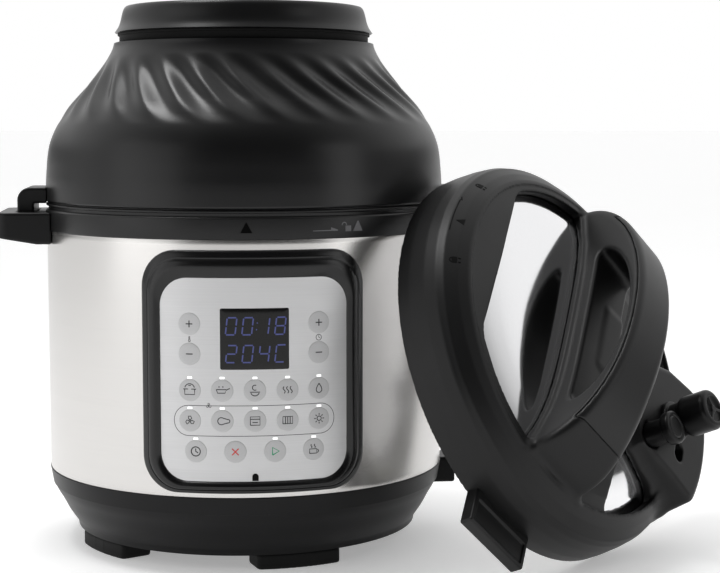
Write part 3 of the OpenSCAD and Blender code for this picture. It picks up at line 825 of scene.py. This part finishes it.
PLUS = [[(-2.3, 0), (2.3, 0)], [(0, -2.3), (0, 2.3)]]
MINUS = [[(-2.3, 0), (2.3, 0)]]
CLOCK = [arc(0, 0, 3.1), [(0, 2), (0, 0), (1.6, -0.9)]]
THERMOMETER = [arc(0, -2.2, 1.3, 120, 420, 14), [(-0.62, -1.1), (-0.62, 2.6)],
               [(0.62, -1.1), (0.62, 2.6)], arc(0, 2.6, 0.62, 0, 180, 6)]
BLADE = [(0, 0.3), (1.3, 1.6), (0.6, 3), (-1.1, 2.9), (-0.9, 1.4), (0, 0.3)]
ICONS = {
    "key_temp_up": PLUS, "key_temp_down": MINUS, "key_time_up": PLUS, "key_time_down": MINUS,
    "key_pressure_cook": [[(-3.4, 0.8), (-3.4, -2.8), (3.4, -2.8), (3.4, 0.8)], [(-4.4, 0.8), (4.4, 0.8)],
                          arc(0, 1, 3.4, 15, 165, 10), [(-0.9, 3.3), (0.9, 3.3)]],
    "key_saute": [[(-3.8, 0.8), (-3, -1.6), (2, -1.6), (2.8, 0.8), (-3.8, 0.8)], [(2.6, 0.4), (5.2, 1.6)],
                  [(-2, 2.1), (-2, 3.1)], [(0.6, 2.1), (0.6, 3.1)]],
    "key_slow_cook": [arc(0, -0.6, 2.9, 200, 340, 10), [(-3.4, -1), (3.4, -1)],
                      arc(0, 2, 1.7, 60, 300, 12)],
    "key_steam": [wave(-2.4), wave(0), wave(2.4)],
    "key_sous_vide": [[(0, 3.4), (-1.5, 1), *arc(0, -0.9, 2, 160, 380, 16), (1.5, 1), (0, 3.4)]],
    "key_air_fry": [turned(BLADE, t) for t in (0, 2.0944, 4.18879)],
    "key_roast": [arc(-0.6, 0, 2.4, 60, 300, 14), [(0.6, 2), (3.6, 1.2)], [(0.6, -2), (3.6, -1.2)],
                  arc(3.9, 0, 1.2, -110, 110, 8)],
    "key_bake": [box_line(-3.2, -2.8, 3.2, 2.8), [(-3.2, 1.2), (3.2, 1.2)], [(-1.8, -1), (1.8, -1)]],
    "key_grill": [box_line(-3.3, -2.4, 3.3, 2.4)] + [[(x, -2.4), (x, 2.4)] for x in (-1.6, 0, 1.6)],
    "key_dehydrate": [arc(0, 0, 1.5)] + rays(2.3, 3.6, 8),
    "key_delay_start": CLOCK,
    "key_cancel": [[(-2.2, -2.2), (2.2, 2.2)], [(-2.2, 2.2), (2.2, -2.2)]],
    "key_start": [[(-1.8, -2.6), (2.7, 0), (-1.8, 2.6), (-1.8, -2.6)]],
    "key_keep_warm": [box_line(-3, -2.8, 2, 0.2), arc(2.2, -1.3, 1.1, -80, 80, 8),
                      wave(-1.7, 0.9, 3.4, 0.4, 8), wave(0.7, 0.9, 3.4, 0.4, 8)],
}


def keys():
    """Round keys, each with its icon."""
    for key, (angle, z) in KEY_PLACES.items():
        rings = [(2, KEY_FRONT - 0.02), (4.5, KEY_FRONT), (7.1, KEY_FRONT), (7.3, KEY_FRONT - 0.04),
                 (7.4, KEY_FRONT - 0.16), (7.4, 146.1), (8.4, 145.3), (8.4, 143)]
        piece(key.title(), *disc_on(angle, z, rings), key, "key", key, "key_grey", sharp=60)
        bold = 0.75 if key.endswith(("up", "down", "cancel", "start")) else 0.62
        lines = [ribbon_on(p, bold, z, KEY_FRONT, 0.04, angle) for p in ICONS[key]]
        ink = {"key_cancel": "ink_red", "key_start": "ink_green"}.get(key, "ink")
        piece(key.title() + "_print", *join(lines), key, ink, slot="key_grey")


def scaled(lines, k):
    return [[(k * x, k * y) for x, y in line] for line in lines]


def panel_prints():
    """Thin outline round the second row, a fan on its top line, and signs between plus and minus."""
    r = FACE_R
    fan_sign = scaled(ICONS["key_air_fry"], 0.55)
    second = KEY_PLACES["key_bake"][1]
    column = math.radians(KEY_PLACES["key_dehydrate"][0]) * r
    loop = outline(2 * (column + 11), 20.4, 10, 0, 40, 12)
    parts = [ribbon_on(loop, 0.4, second, r, 0.03, 0, closed=True)]
    parts += [ribbon_on(p, 0.42, second + 10.2, r, 0.05, -12) for p in fan_sign]
    middle = (KEY_PLACES["key_temp_up"][1] + KEY_PLACES["key_temp_down"][1]) / 2
    for icon, key in ((scaled(THERMOMETER, 0.52), "key_temp_up"), (scaled(CLOCK, 0.62), "key_time_up")):
        parts += [ribbon_on(p, 0.42, middle, r, 0.03, KEY_PLACES[key][0]) for p in icon]
    piece("Panel_prints", *join(parts), "base", "ink", slot="panel_silver")


SEGMENTS = {"a": ((0.08, 1), (0.92, 1)), "b": ((1, 0.95), (1, 0.55)), "c": ((1, 0.45), (1, 0.05)),
            "d": ((0.08, 0), (0.92, 0)), "e": ((0, 0.45), (0, 0.05)), "f": ((0, 0.95), (0, 0.55)),
            "g": ((0.08, 0.5), (0.92, 0.5))}
DIGITS = {"0": "abcdef", "1": "bc", "2": "abged", "4": "fgbc", "8": "abcdefg", "C": "afed"}


def display():
    """Smoked window with lit seven-segment digits under its surface."""
    r = FACE_R + 0.1
    window = prism_grid(outline(WINDOW_W, WINDOW_H, 1.4, 0, 10, 4), WINDOW_MID, r)
    piece("Display_window", *window, "base", "glass", "display_window", "display_lens")
    digit_w, digit_h, lean, pitch = 6.4, 11.4, 0.12, 10.9
    parts = []
    for text, base in (("00:18", WINDOW_MID + 2.9), ("204C", WINDOW_MID - 15.6)):
        x = -WINDOW_W / 2 + 3.6
        for mark in text:
            if mark == ":":
                dots = [(x - 1.6 + lean * y, y) for y in (3.4, 7.8)]
                parts += [prism_on(arc(dx, dy, 0.45, 0, 330, 11), base, r, 0.03) for dx, dy in dots]
                continue
            for name in DIGITS[mark]:
                line = [(x + a * digit_w + lean * b * digit_h, b * digit_h) for a, b in SEGMENTS[name]]
                parts.append(ribbon_on(line, 0.95, base, r, 0.03))
            x += pitch
    piece("Display_digits", *join(parts), "base", "digit", slot="display_lens")


def prism_grid(edge, z, r, depth=1.3):
    """A plate with that edge, bent to the drum by rows of points from the edge to its middle."""
    rows = [(1, depth), (1, 0.15)] + [(share, 0) for share in (0.97, 0.8, 0.6, 0.4, 0.2)]
    points = [on_drum(x * share, z + y * share, r - inset) for share, inset in rows for x, y in edge]
    points += [on_drum(0, z, r), on_drum(0, z, r - depth)]
    n, count = len(edge), len(rows)
    ends = cone((count - 1) * n, n, count * n) + cone(0, n, count * n + 1)
    return points, layers(count, n) + ends


def lamps():
    """A small bar of light over each programme key."""
    bar = rounded(LAMP, 0.4, 3)
    places = [KEY_PLACES[key] for key in LAMP_KEYS]
    parts = [prism_on(bar, z + LAMP_RISE, FACE_R, 0.1, angle) for angle, z in places]
    piece("Indicator_lamps", *join(parts), "base", "lamp", "indicator_lights", "lamp_white")


# ---------- rear and right side ----------

def inlet():
    """Mains socket in the base's right side, with three pins in its recess."""
    low, high = span("power_inlet")

    def socket(x, y, z):
        body = block(x, y, z, low, high, 2)
        recess = block(x, y, z, (high.x - 16, -12, low.z + 1.5), (high.x + 5, 12, high.z - 1.5), 1.2)
        return smax(body, -recess, 1)

    skin_piece("Power_inlet", socket, low, high, 0.7, "base", "base", "power_inlet", "base_plastic")
    middle = (low.z + high.z) / 2
    parts = []
    for a in (-7, 0, 7):
        corners = (high.x - 18, a - 1, middle - 2), (high.x - 6, a + 1, middle + 2)
        parts.append(skin(lambda x, y, z: block(x, y, z, *corners, 0.6), *corners, 0.4))
    piece("Power_inlet_pins", *join(parts), "base", "brass", slot="base_plastic", sharp=None)


def collector():
    """Open cup behind the cooker, that follows its round back."""
    low, high = span("condensation_collector")
    half, wall = high.x, 1.8

    def cup(x, y, z):
        outer = block(x, y, z, (-half, low.y - 20, low.z), (half, high.y, high.z + 20), 8)
        inner = block(x, y, z, (wall - half, low.y - 20, low.z + wall),
                      (half - wall, high.y - wall, high.z + 30), 6.4)
        body = smax(smax(outer, z - high.z, 0.8), -inner, 0.8)
        return smax(body, 148.6 - np.hypot(x, y), 0.6)

    skin_piece("Condensation_collector", cup, low, high, 0.8, "collector", "cup",
               "condensation_collector", "collector_plastic")


# ---------- air-frying lid ----------

DOME_LOW, DOME_HIGH = bottom_of("fryer_lid_shell"), top_of("fryer_lid_shell")
FLUTES = 28
FLUTE_DEPTH = 4.2
FLUTE_LOW, FLUTE_HIGH = 303.5, 352.5
FLUTE_MIDDLE = 326
FLUTE_TWIST = 0.49


def flute(r, z, angle):
    """Shallow slanting scoops round the waist of the dome, which fade out at both ends."""
    t = 2 * (z - FLUTE_LOW) / (FLUTE_HIGH - FLUTE_LOW) - 1
    if abs(t) >= 1:
        return r
    fade = (1 - t * t) ** 1.6
    turn = FLUTES * (angle + math.radians(FLUTE_TWIST) * (z - FLUTE_MIDDLE))
    u = (turn / math.pi) % 2 - 1
    scoop = (1 - u * u) ** 2 * (1 - 0.3 * u)
    return r - FLUTE_DEPTH * fade * scoop


def fryer_shell():
    """Domed shell, fluted outside, with plain walls inside and a lip under the vent."""
    side = [(145.4, DOME_LOW), (145.4, 262), (144.7, 271), (144, 280), (142.5, 289), (139.1, 298),
            (134.3, 306.6), (128.8, 315.4), (121, 324.3), (113.6, 333), (105.9, 342), (99.6, 351),
            (95.9, 358), (94.8, DOME_HIGH)]
    outer = resampled(smooth_curve(side, 2), 1.4)
    (foot_r, foot_z), top_r = outer[0], outer[-1][0]
    outer = [(foot_r - 0.8, foot_z), (foot_r, foot_z + 0.8)] + outer[2:-1]
    outer += [(top_r - 0.1, DOME_HIGH - 0.8), (top_r - 0.9, DOME_HIGH + 0.05)]
    inner = [(r - 3 - 4 * (FLUTE_LOW < z < FLUTE_HIGH), z) for r, z in reversed(side)]
    segments = 870
    points, faces = join([lathe(outer, segments, closed=False, shape=flute),
                          lathe(inner, segments, closed=False)])
    lip, inner_start = (len(outer) - 1) * segments, len(outer) * segments
    faces += band(lip, inner_start, segments) + band(len(points) - segments, 0, segments)
    piece("Fryer_lid_shell", points, faces, "fryer_lid", "fryer", "fryer_lid_shell", "fryer_plastic", 50)


def fryer_ring():
    """Ring under the dome, that fills the collar's mouth."""
    low = bottom_of("fryer_lid_ring")
    profile = rounded([
        (143.6, low), (143.6, 245.2), (145.3, 245.4), (145.3, 246.8), (143.4, 247), (143.4, DOME_LOW),
        (138, DOME_LOW), (138, 251), (112.4, 251), (112.4, 233), (115.4, 233), (115.4, low)], 0.5, 3)
    ring = lathe(profile, FINE_TURN)
    piece("Fryer_lid_ring", *ring, "fryer_lid", "collar", "fryer_lid_ring", "fryer_plastic")


def fryer_cap():
    """Flat cap over the vent, hollow below."""
    low, top = bottom_of("fryer_lid_cap"), top_of("fryer_lid_cap")
    edge = [(86, top - 0.35), (87.4, top - 1.6), (88.6, top - 4.5), (90.7, 375), (94.2, low + 0.5)]
    outer = [(0, top - 0.6), (60, top), (84, top)] + smooth_curve(edge, 2)[1:]
    inner = [(93.6, low), (91.2, low), (88, 375), (85.5, top - 3), (0, top - 3)]
    cap = lathe(outer + inner, 256, closed=False)
    piece("Fryer_lid_cap", *cap, "fryer_lid", "cap", "fryer_lid_cap", "fryer_plastic", 40)


def fryer_vent():
    """Recessed black ring between the dome and the cap, darker and duller than the other black plastics:
    painted shade for the recess under the cap.
    """
    low, high = bottom_of("fryer_lid_vent"), top_of("fryer_lid_vent")
    profile = rounded([
        (91, low), (91, high - 1.9), (92.2, high - 1.9), (92.2, high), (89, high), (89, low)], 0.3, 2)
    piece("Fryer_lid_vent", *lathe(profile, 256), "fryer_lid", "vent", "fryer_lid_vent", "fryer_plastic")


# ---------- pressure lid, in its own frame ----------
# x runs along the bridge, y across it, and z out of the lid's face from its rim plane.

LID_OUT = -Vector(joint("release_press")["axis"])
LID_TURN = math.atan2(LID_OUT.x, -LID_OUT.y)
LID_TILT = math.asin(LID_OUT.z)
BRIDGE_TURN = math.radians(42)
RACK_HEIGHT = 24.5
RACK_LOW, RACK_HIGH = span("sealing_ring_rack")
LID_ORIGIN = (RACK_LOW + RACK_HIGH) / 2 - LID_OUT * RACK_HEIGHT
LID = (Matrix.Translation(LID_ORIGIN) @ Matrix.Rotation(LID_TURN, 4, "Z")
       @ Matrix.Rotation(math.pi / 2 - LID_TILT, 4, "X") @ Matrix.Rotation(BRIDGE_TURN, 4, "Z"))

WINDOW_R = 121
WINDOW_REACH = 94
SHELF = 57
BRIDGE_HALF = 19
BRIDGE_TOP = 109
DECK = 47
CAP_HALF = 99
VALVE_AT = (0, -95)
BUTTON_AT = (-29, -74)
FLOAT_AT = (-15, -108)
MARKS_R = 133
BLOCK = [(-22, -5), (-26, -56), (-39, -69), (-42, -84), (-43, -106), (-48, -150), (50, -150),
         (48, -112), (44, -86), (30, -58), (26, -5)]
BLOCK_TOP = 62
RING_SLOPE = [(139.4, 30.6), (137, 35.6), (130.5, 41.6), (124, 45.8)]
RING = [(142.4, 0), (142.2, 10), (141, 22), *RING_SLOPE, (121, 46.4), (121, 43.8), (129, 38),
        (133.4, 32), (135, 28), (137.6, 20), (139.4, 0)]
DOME_SIDE = [(0, 49.5), (60, 48.8), (85, 47), (100, 44.2), (110, 41.4), (118, 38.2), (124, 35.4),
             (129, 32.4), (132, 28)]


def deck_height(rho):
    """Height of the steel dome's outside."""
    return np.interp(rho, *np.transpose(DOME_SIDE))


def bridge_half(x):
    """Half the bridge's width: narrow over the middle and wider at both feet."""
    return BRIDGE_HALF + np.where(x < 0, 10, 6) * (np.abs(x) / 118) ** 3


def arch(x, z, extra=0.0):
    return ellipse(x, z - DECK, 118 + extra, BRIDGE_TOP - DECK + extra)


def bar(x, y, z):
    """The whole arched bridge, handle and all."""
    return smax(arch(x, z), np.abs(y) - bridge_half(x), 7)


def grip_slot(x, z):
    """D-shaped opening under the handle."""
    return smax(ellipse(x + 4, z - 65, 74, 34), 65 - z, 10)


def valve_holes(x, y, z):
    valve = np.hypot(x - VALVE_AT[0], y - VALVE_AT[1]) - 4.4
    button = smax(np.hypot(x - BUTTON_AT[0], y - BUTTON_AT[1]) - 9.6, 40 - z, 1)
    slot_x = np.maximum(FLOAT_AT[0] - 6 - x, x - FLOAT_AT[0])
    pin = np.hypot(np.maximum(slot_x, 0), y - FLOAT_AT[1]) - 4.6
    return np.minimum(np.minimum(valve, button), pin)


def lid_cover(x, y, z):
    """Ring, window frames, bridge and valve housing, run into each other with fillets."""
    rho = np.hypot(x, y)
    side = np.abs(y)
    half = bridge_half(x)
    deck = deck_height(rho)
    draft = (BLOCK_TOP - z) * 0.35
    plan_block = inside_outline(x, y, BLOCK) - np.clip(draft, 0, 8)
    frame_block = inside_outline(x, y, BLOCK) - 5.5
    reach = np.where(y > 0, half + 1, SHELF)
    plan = smin(smin(WINDOW_R - rho, side - reach, 10), frame_block, 12)
    plate_top = deck + 3.3 + 0.14 * np.clip(rho - 98, 0, 24)
    frame_plate = smax(smax(plan, np.maximum(z - plate_top, deck + 0.5 - z), 1.2), rho - 136, 2)
    ring = smax(inside_outline(rho, z, RING) - 0.05, -z, 1.2)
    window = smax(y - WINDOW_REACH, rho - WINDOW_R + 5.5, 5)
    apron = smax(smax(-window, z - 46 - (WINDOW_R - rho) * 0.06, 0.6), deck + 0.5 - z, 0.5)
    apron = smax(smax(apron, rho - 123, 0.5), 24 - y, 1)
    hull = smin(smin(ring, frame_plate, 2.5), apron, 0.5)
    bridge = smax(smax(bar(x, y, z), rho - 131, 6), 36 - z, 2)
    handle_seat = smax(smax(-arch(x, z, -4.3), np.abs(x) - CAP_HALF, 0.4), 55 - z, 0.4)
    bridge = smax(bridge, -handle_seat, 0.6)
    bridge = smax(bridge, -grip_slot(x, z), 3)
    housing = smax(smax(plan_block, rho - 139.4, 5), z - BLOCK_TOP, 4)
    housing = smax(housing, 12 - z, 2)
    solid = smin(smin(hull, bridge, 6), housing, 9)
    inside = smax(z - deck - 0.4, rho - 132.6, 0.5)
    solid = smax(solid, -inside, 0.6)
    return smax(solid, -valve_holes(x, y, z), 0.8)


def lid_handle(x, y, z):
    """Outer half of the grip, over the bridge from one end of the slot to the other."""
    cap = smax(bar(x, y, z), -arch(x, z, -4.0), 0.6)
    return smax(smax(cap, np.abs(x) - CAP_HALF + 0.3, 0.6), 55 - z, 0.5)


def lid_fin(x, y, z):
    """Fin on the rim, with a raised border round a sunk panel."""
    body = smax(block(x, y, z, (130, -28.5, 0), (165, 28.5, 10), 1.6), 141 - np.hypot(x, y), 0.6)
    panel = block(x, y, z, (146, -25, 8.6), (162, 25, 20), 1)
    return smax(body, -panel, 0.6)


def lid_dome():
    """Polished steel pan of the lid, which shows in the windows."""
    side = smooth_curve(DOME_SIDE + [(132, 6)], 3)
    inner = [(130, 6), (130, 27.6)] + [(r - 0.6, z - 1.2) for r, z in DOME_SIDE[-2:0:-1]] + [(0, 48.3)]
    pan = lathe(side + inner, 256, closed=False)
    piece("Pressure_lid_dome", *pan, "pressure_lid", "mirror", "pressure_lid_dome", "dome_steel", 40,
          LID)
    pipe = rounded([(4, 46), (4, 72), (2, 72), (2, 46)], 0.4, 2)
    points, faces = lathe(pipe, 32)
    points = np.array(points) + np.array([*VALVE_AT, 0])
    piece("Steam_pipe", points, faces, "pressure_lid", "pin", slot="dome_steel", place=LID)


def on_slope(points, at, rise):
    """Points of a flat mark, laid on the rim's sloped top and as high as rise above it."""
    out = []
    for x, y in points:
        a = math.radians(at) + x / MARKS_R
        rho = MARKS_R + y * 0.75
        z = np.interp(rho, *np.transpose(RING_SLOPE[::-1])) + rise
        out.append((rho * math.cos(a), rho * math.sin(a), z))
    return out


def flat_mark(shape, at):
    return on_slope(shape, at, -0.4) + on_slope(shape, at, 0.35), prism_faces(len(shape))


def padlock_marks(at):
    """A square lock with its bow, and two short ticks below it."""
    bow = arc(0, 0.6, 1.9, 0, 180, 8) + arc(0, 0.6, 1.2, 180, 0, 8)
    shapes = [[(-2.3, -2.8), (2.3, -2.8), (2.3, 0.6), (-2.3, 0.6)], bow]
    shapes += [[(x - 0.4, -5.6), (x + 0.4, -5.6), (x + 0.4, -3.8), (x - 0.4, -3.8)] for x in (-1.6, 1.6)]
    return [flat_mark(shape, at) for shape in shapes]


def lid_marks():
    """Black marks on the rim's sloped top: a triangle, a curved arrow and two padlocks."""
    line = [(x, 4.2) for x in range(-17, 16, 2)]
    arrow = line + [(x, y + 0.7) for x, y in reversed(line)]
    marks = [flat_mark([(-3, -4), (3, -4), (0, 2)], 89), flat_mark(arrow, 87),
             flat_mark([(-17, 3), (-21, 4.5), (-17, 6)], 87)]
    marks += padlock_marks(69) + padlock_marks(104)
    piece("Pressure_lid_marks", *join(marks), "pressure_lid", "mark", slot="lid_plastic", place=LID)


def steam_valve(x, y, z):
    """Weighted valve cap on a waisted stem, with three openings in its face."""
    x, y = x - VALVE_AT[0], y - VALVE_AT[1]
    rho = np.hypot(x, y)
    cap = smax(rho - 14.7, np.abs(z - 85.5) - 11.5, 4)
    neck = smax(rho - 12.2, np.abs(z - 70) - 7, 1)
    base = smax(rho - 14.8, np.abs(z - 64.3) - 1.8, 1.5)
    body = np.minimum(smin(cap, neck, 2), base)
    rim = smax(np.abs(rho - 6.2) - 3.2, 95.4 - z, 0.8)
    sector = 2 * math.pi / 3
    around = (np.arctan2(y, x) % sector) - sector / 2
    spokes = np.abs(around) * np.maximum(rho, 1) - 1.1
    openings = smax(smax(rim, 1.6 - rho, 0.5), -smax(np.abs(around) - 5, spokes, 0.1), 0.8)
    body = smax(body, -openings, 0.8)
    bore = smax(rho - 4.1, z - 74, 0.5)
    return smax(body, -bore, 0.4)


def release_button(x, y, z):
    """Round button with a ring pressed into its face, on a stem."""
    x, y = x - BUTTON_AT[0], y - BUTTON_AT[1]
    rho = np.hypot(x, y)
    cap = smax(rho - 11.8, np.abs(z - 79) - 3.5, 2)
    ring = smax(np.abs(rho - 8) - 0.5, 82 - z, 0.3)
    stem = smax(rho - 9, np.abs(z - 65) - 11.5, 1)
    return np.minimum(smax(cap, -ring, 0.5), stem)


def pressure_lid():
    """The pressure lid's own pieces, each placed from the lid's frame."""
    reach = 143
    skin_piece("Pressure_lid_cover", lid_cover, (-reach, -reach, 0), (reach, reach, BRIDGE_TOP), 1.25,
               "pressure_lid", "lid", "pressure_lid_cover", "lid_plastic", place=LID)
    skin_piece("Pressure_lid_handle", lid_handle, (-101, -44, 55), (101, 44, BRIDGE_TOP), 0.9,
               "pressure_lid", "lid_grip", "pressure_lid_handle", "lid_plastic", place=LID)
    points, faces = skin(lid_fin, (138, -29, 0), (165, 29, 10), coarse(0.7))
    for name, sign in (("Pressure_lid_fin_a", 1), ("Pressure_lid_fin_b", -1)):
        piece(name, points * np.array([sign, sign, 1]), faces, "pressure_lid", "lid", slot="lid_plastic",
              sharp=None, place=LID)
    lid_dome()
    lid_marks()
    for name, shape, (x, y), low, high, body in (
            ("steam_valve", steam_valve, VALVE_AT, 62, 97, "valve_knob"),
            ("release_button", release_button, BUTTON_AT, 53, 83, "pressure_release")):
        skin_piece(name.title(), shape, (x - 15, y - 15, low), (x + 15, y + 15, high), 0.55,
                   body, "valve", name, "valve_plastic", place=LID)


# ---------- finishes of the CAD nodes that stay ----------

KEPT = {
    "base_screws": "screw", "inner_housing": "liner", "heater_plate": "cast", "sensor_cap": "cast",
    "sensor_spring": "spring", "power_board": "board", "control_board": "board",
    "collector_bracket": "handle", "inner_pot": "pot", "heat_reflector": "reflector",
    "heating_coil": "coil", "coil_guard": "guard", "fan_motor": "motor", "convection_fan": "fan",
    "sealing_ring": "silicone", "sealing_ring_rack": "guard", "anti_block_shield": "pin",
    "float_valve": "pin",
}


def finish_kept_nodes():
    for node, mat in KEPT.items():
        obj = NODES[node]
        obj.data.materials.clear()
        obj.data.materials.append(M[mat])


# ---------- studio ----------

def camera():
    data = bpy.data.cameras.new("Camera")
    obj = bpy.data.objects.new("Camera", data)
    bpy.context.scene.collection.objects.link(obj)
    obj.location = (-0.04905, -1.2769, 0.305)
    obj.rotation_euler = (math.radians(84.54), 0, math.radians(-6.02))
    data.lens = 85.9
    data.sensor_width = 36
    data.clip_start, data.clip_end = 0.05, 200
    bpy.context.scene.camera = obj


def soft_light(name, place, target, size, power, colour=(1, 1, 1)):
    data = bpy.data.lights.new(name, "AREA")
    data.shape = "RECTANGLE"
    data.size, data.size_y = size
    data.energy = power
    data.color = colour
    obj = bpy.data.objects.new(name, data)
    bpy.context.scene.collection.objects.link(obj)
    obj.location = place
    obj.rotation_euler = (Vector(target) - Vector(place)).to_track_quat("-Z", "Y").to_euler()


def floor():
    bm = bmesh.new()
    bmesh.ops.create_circle(bm, cap_ends=True, segments=96, radius=60)
    mesh = bpy.data.meshes.new("Floor")
    bm.to_mesh(mesh)
    bm.free()
    obj = bpy.data.objects.new("Floor", mesh)
    bpy.context.scene.collection.objects.link(obj)
    mesh.materials.append(pale_floor("Floor"))


# Brightness of the studio's walls, by their direction in degrees from the front.
WALLS = [(-180, 1.0), (-166, 1.0), (-156, 0.2), (-121, 0.2), (-112, 0.7), (-66, 0.7), (-48, 0.25),
         (-15, 0.06), (35, 0.05), (72, 0.04), (112, 0.08), (135, 0.5), (160, 1.0), (180, 1.0)]
# Sines of the heights between which the walls give way to the ceiling.
OVERHEAD = (0.06, 0.3)


def surroundings():
    """Pale and dark walls all round, as studio screens make, under a ceiling paler at the back."""
    world = bpy.data.worlds.new("World")
    bpy.context.scene.world = world
    world.use_nodes = True
    nodes, links = world.node_tree.nodes, world.node_tree.links
    coords = nodes.new("ShaderNodeTexCoord")
    split = nodes.new("ShaderNodeSeparateXYZ")
    links.new(coords.outputs["Generated"], split.inputs["Vector"])
    front = maths(nodes, links, "MULTIPLY", split.outputs["Y"], -1)
    turn = maths(nodes, links, "ARCTAN2", split.outputs["X"], front)
    share = maths(nodes, links, "MULTIPLY_ADD", turn, 0.5 / math.pi, 0.5)
    walls = nodes.new("ShaderNodeValToRGB")
    stops = walls.color_ramp.elements
    while len(stops) < len(WALLS):
        stops.new(0.5)
    for stop, (angle, _) in zip(stops, WALLS):
        stop.position = (angle + 180) / 360
    for stop, (_, tone) in zip(stops, WALLS):
        stop.color = (tone, tone, tone, 1)
    links.new(share, walls.inputs["Fac"])
    ceiling = smooth_step(nodes, links, split.outputs["Y"], -0.75, 0.35, 0.06, 1.05)
    height = smooth_step(nodes, links, split.outputs["Z"], *OVERHEAD, 0, 1)
    mix = nodes.new("ShaderNodeMix")
    links.new(height, mix.inputs["Factor"])
    links.new(walls.outputs["Color"], mix.inputs["A"])
    links.new(ceiling, mix.inputs["B"])
    links.new(mix.outputs["Result"], nodes["Background"].inputs["Strength"])
    nodes["Background"].inputs["Color"].default_value = (1, 1, 1, 1)


def maths(nodes, links, operation, *values):
    node = nodes.new("ShaderNodeMath")
    node.operation = operation
    for socket, value in zip(node.inputs, values):
        if isinstance(value, (int, float)):
            socket.default_value = value
        else:
            links.new(value, socket)
    return node.outputs["Value"]


def smooth_step(nodes, links, value, from_min, from_max, to_min, to_max):
    tone = nodes.new("ShaderNodeMapRange")
    tone.interpolation_type = "SMOOTHSTEP"
    limits = {"From Min": from_min, "From Max": from_max, "To Min": to_min, "To Max": to_max}
    for name, limit in limits.items():
        tone.inputs[name].default_value = limit
    links.new(value, tone.inputs["Value"])
    return tone.outputs["Result"]


def studio():
    camera()
    floor()
    surroundings()
    soft_light("Left_wall", (-1.9, -1.1, 0.75), (0, 0, 0.2), (1.7, 1.5), 7)
    soft_light("Top_left", (-0.5, 0.05, 1.7), (0, -0.05, 0.32), (0.5, 0.5), 9)
    soft_light("Right", (1.7, -1.2, 0.7), (0.15, 0, 0.2), (0.8, 1.3), 4)
    bpy.context.scene.view_settings.view_transform = "Standard"


steel_shell()
base_housing()
collar()
feet()
handles_and_fins()
bezel()
panel_face()
keys()
panel_prints()
display()
lamps()
inlet()
collector()
fryer_shell()
fryer_ring()
fryer_cap()
fryer_vent()
pressure_lid()
finish_kept_nodes()
studio()
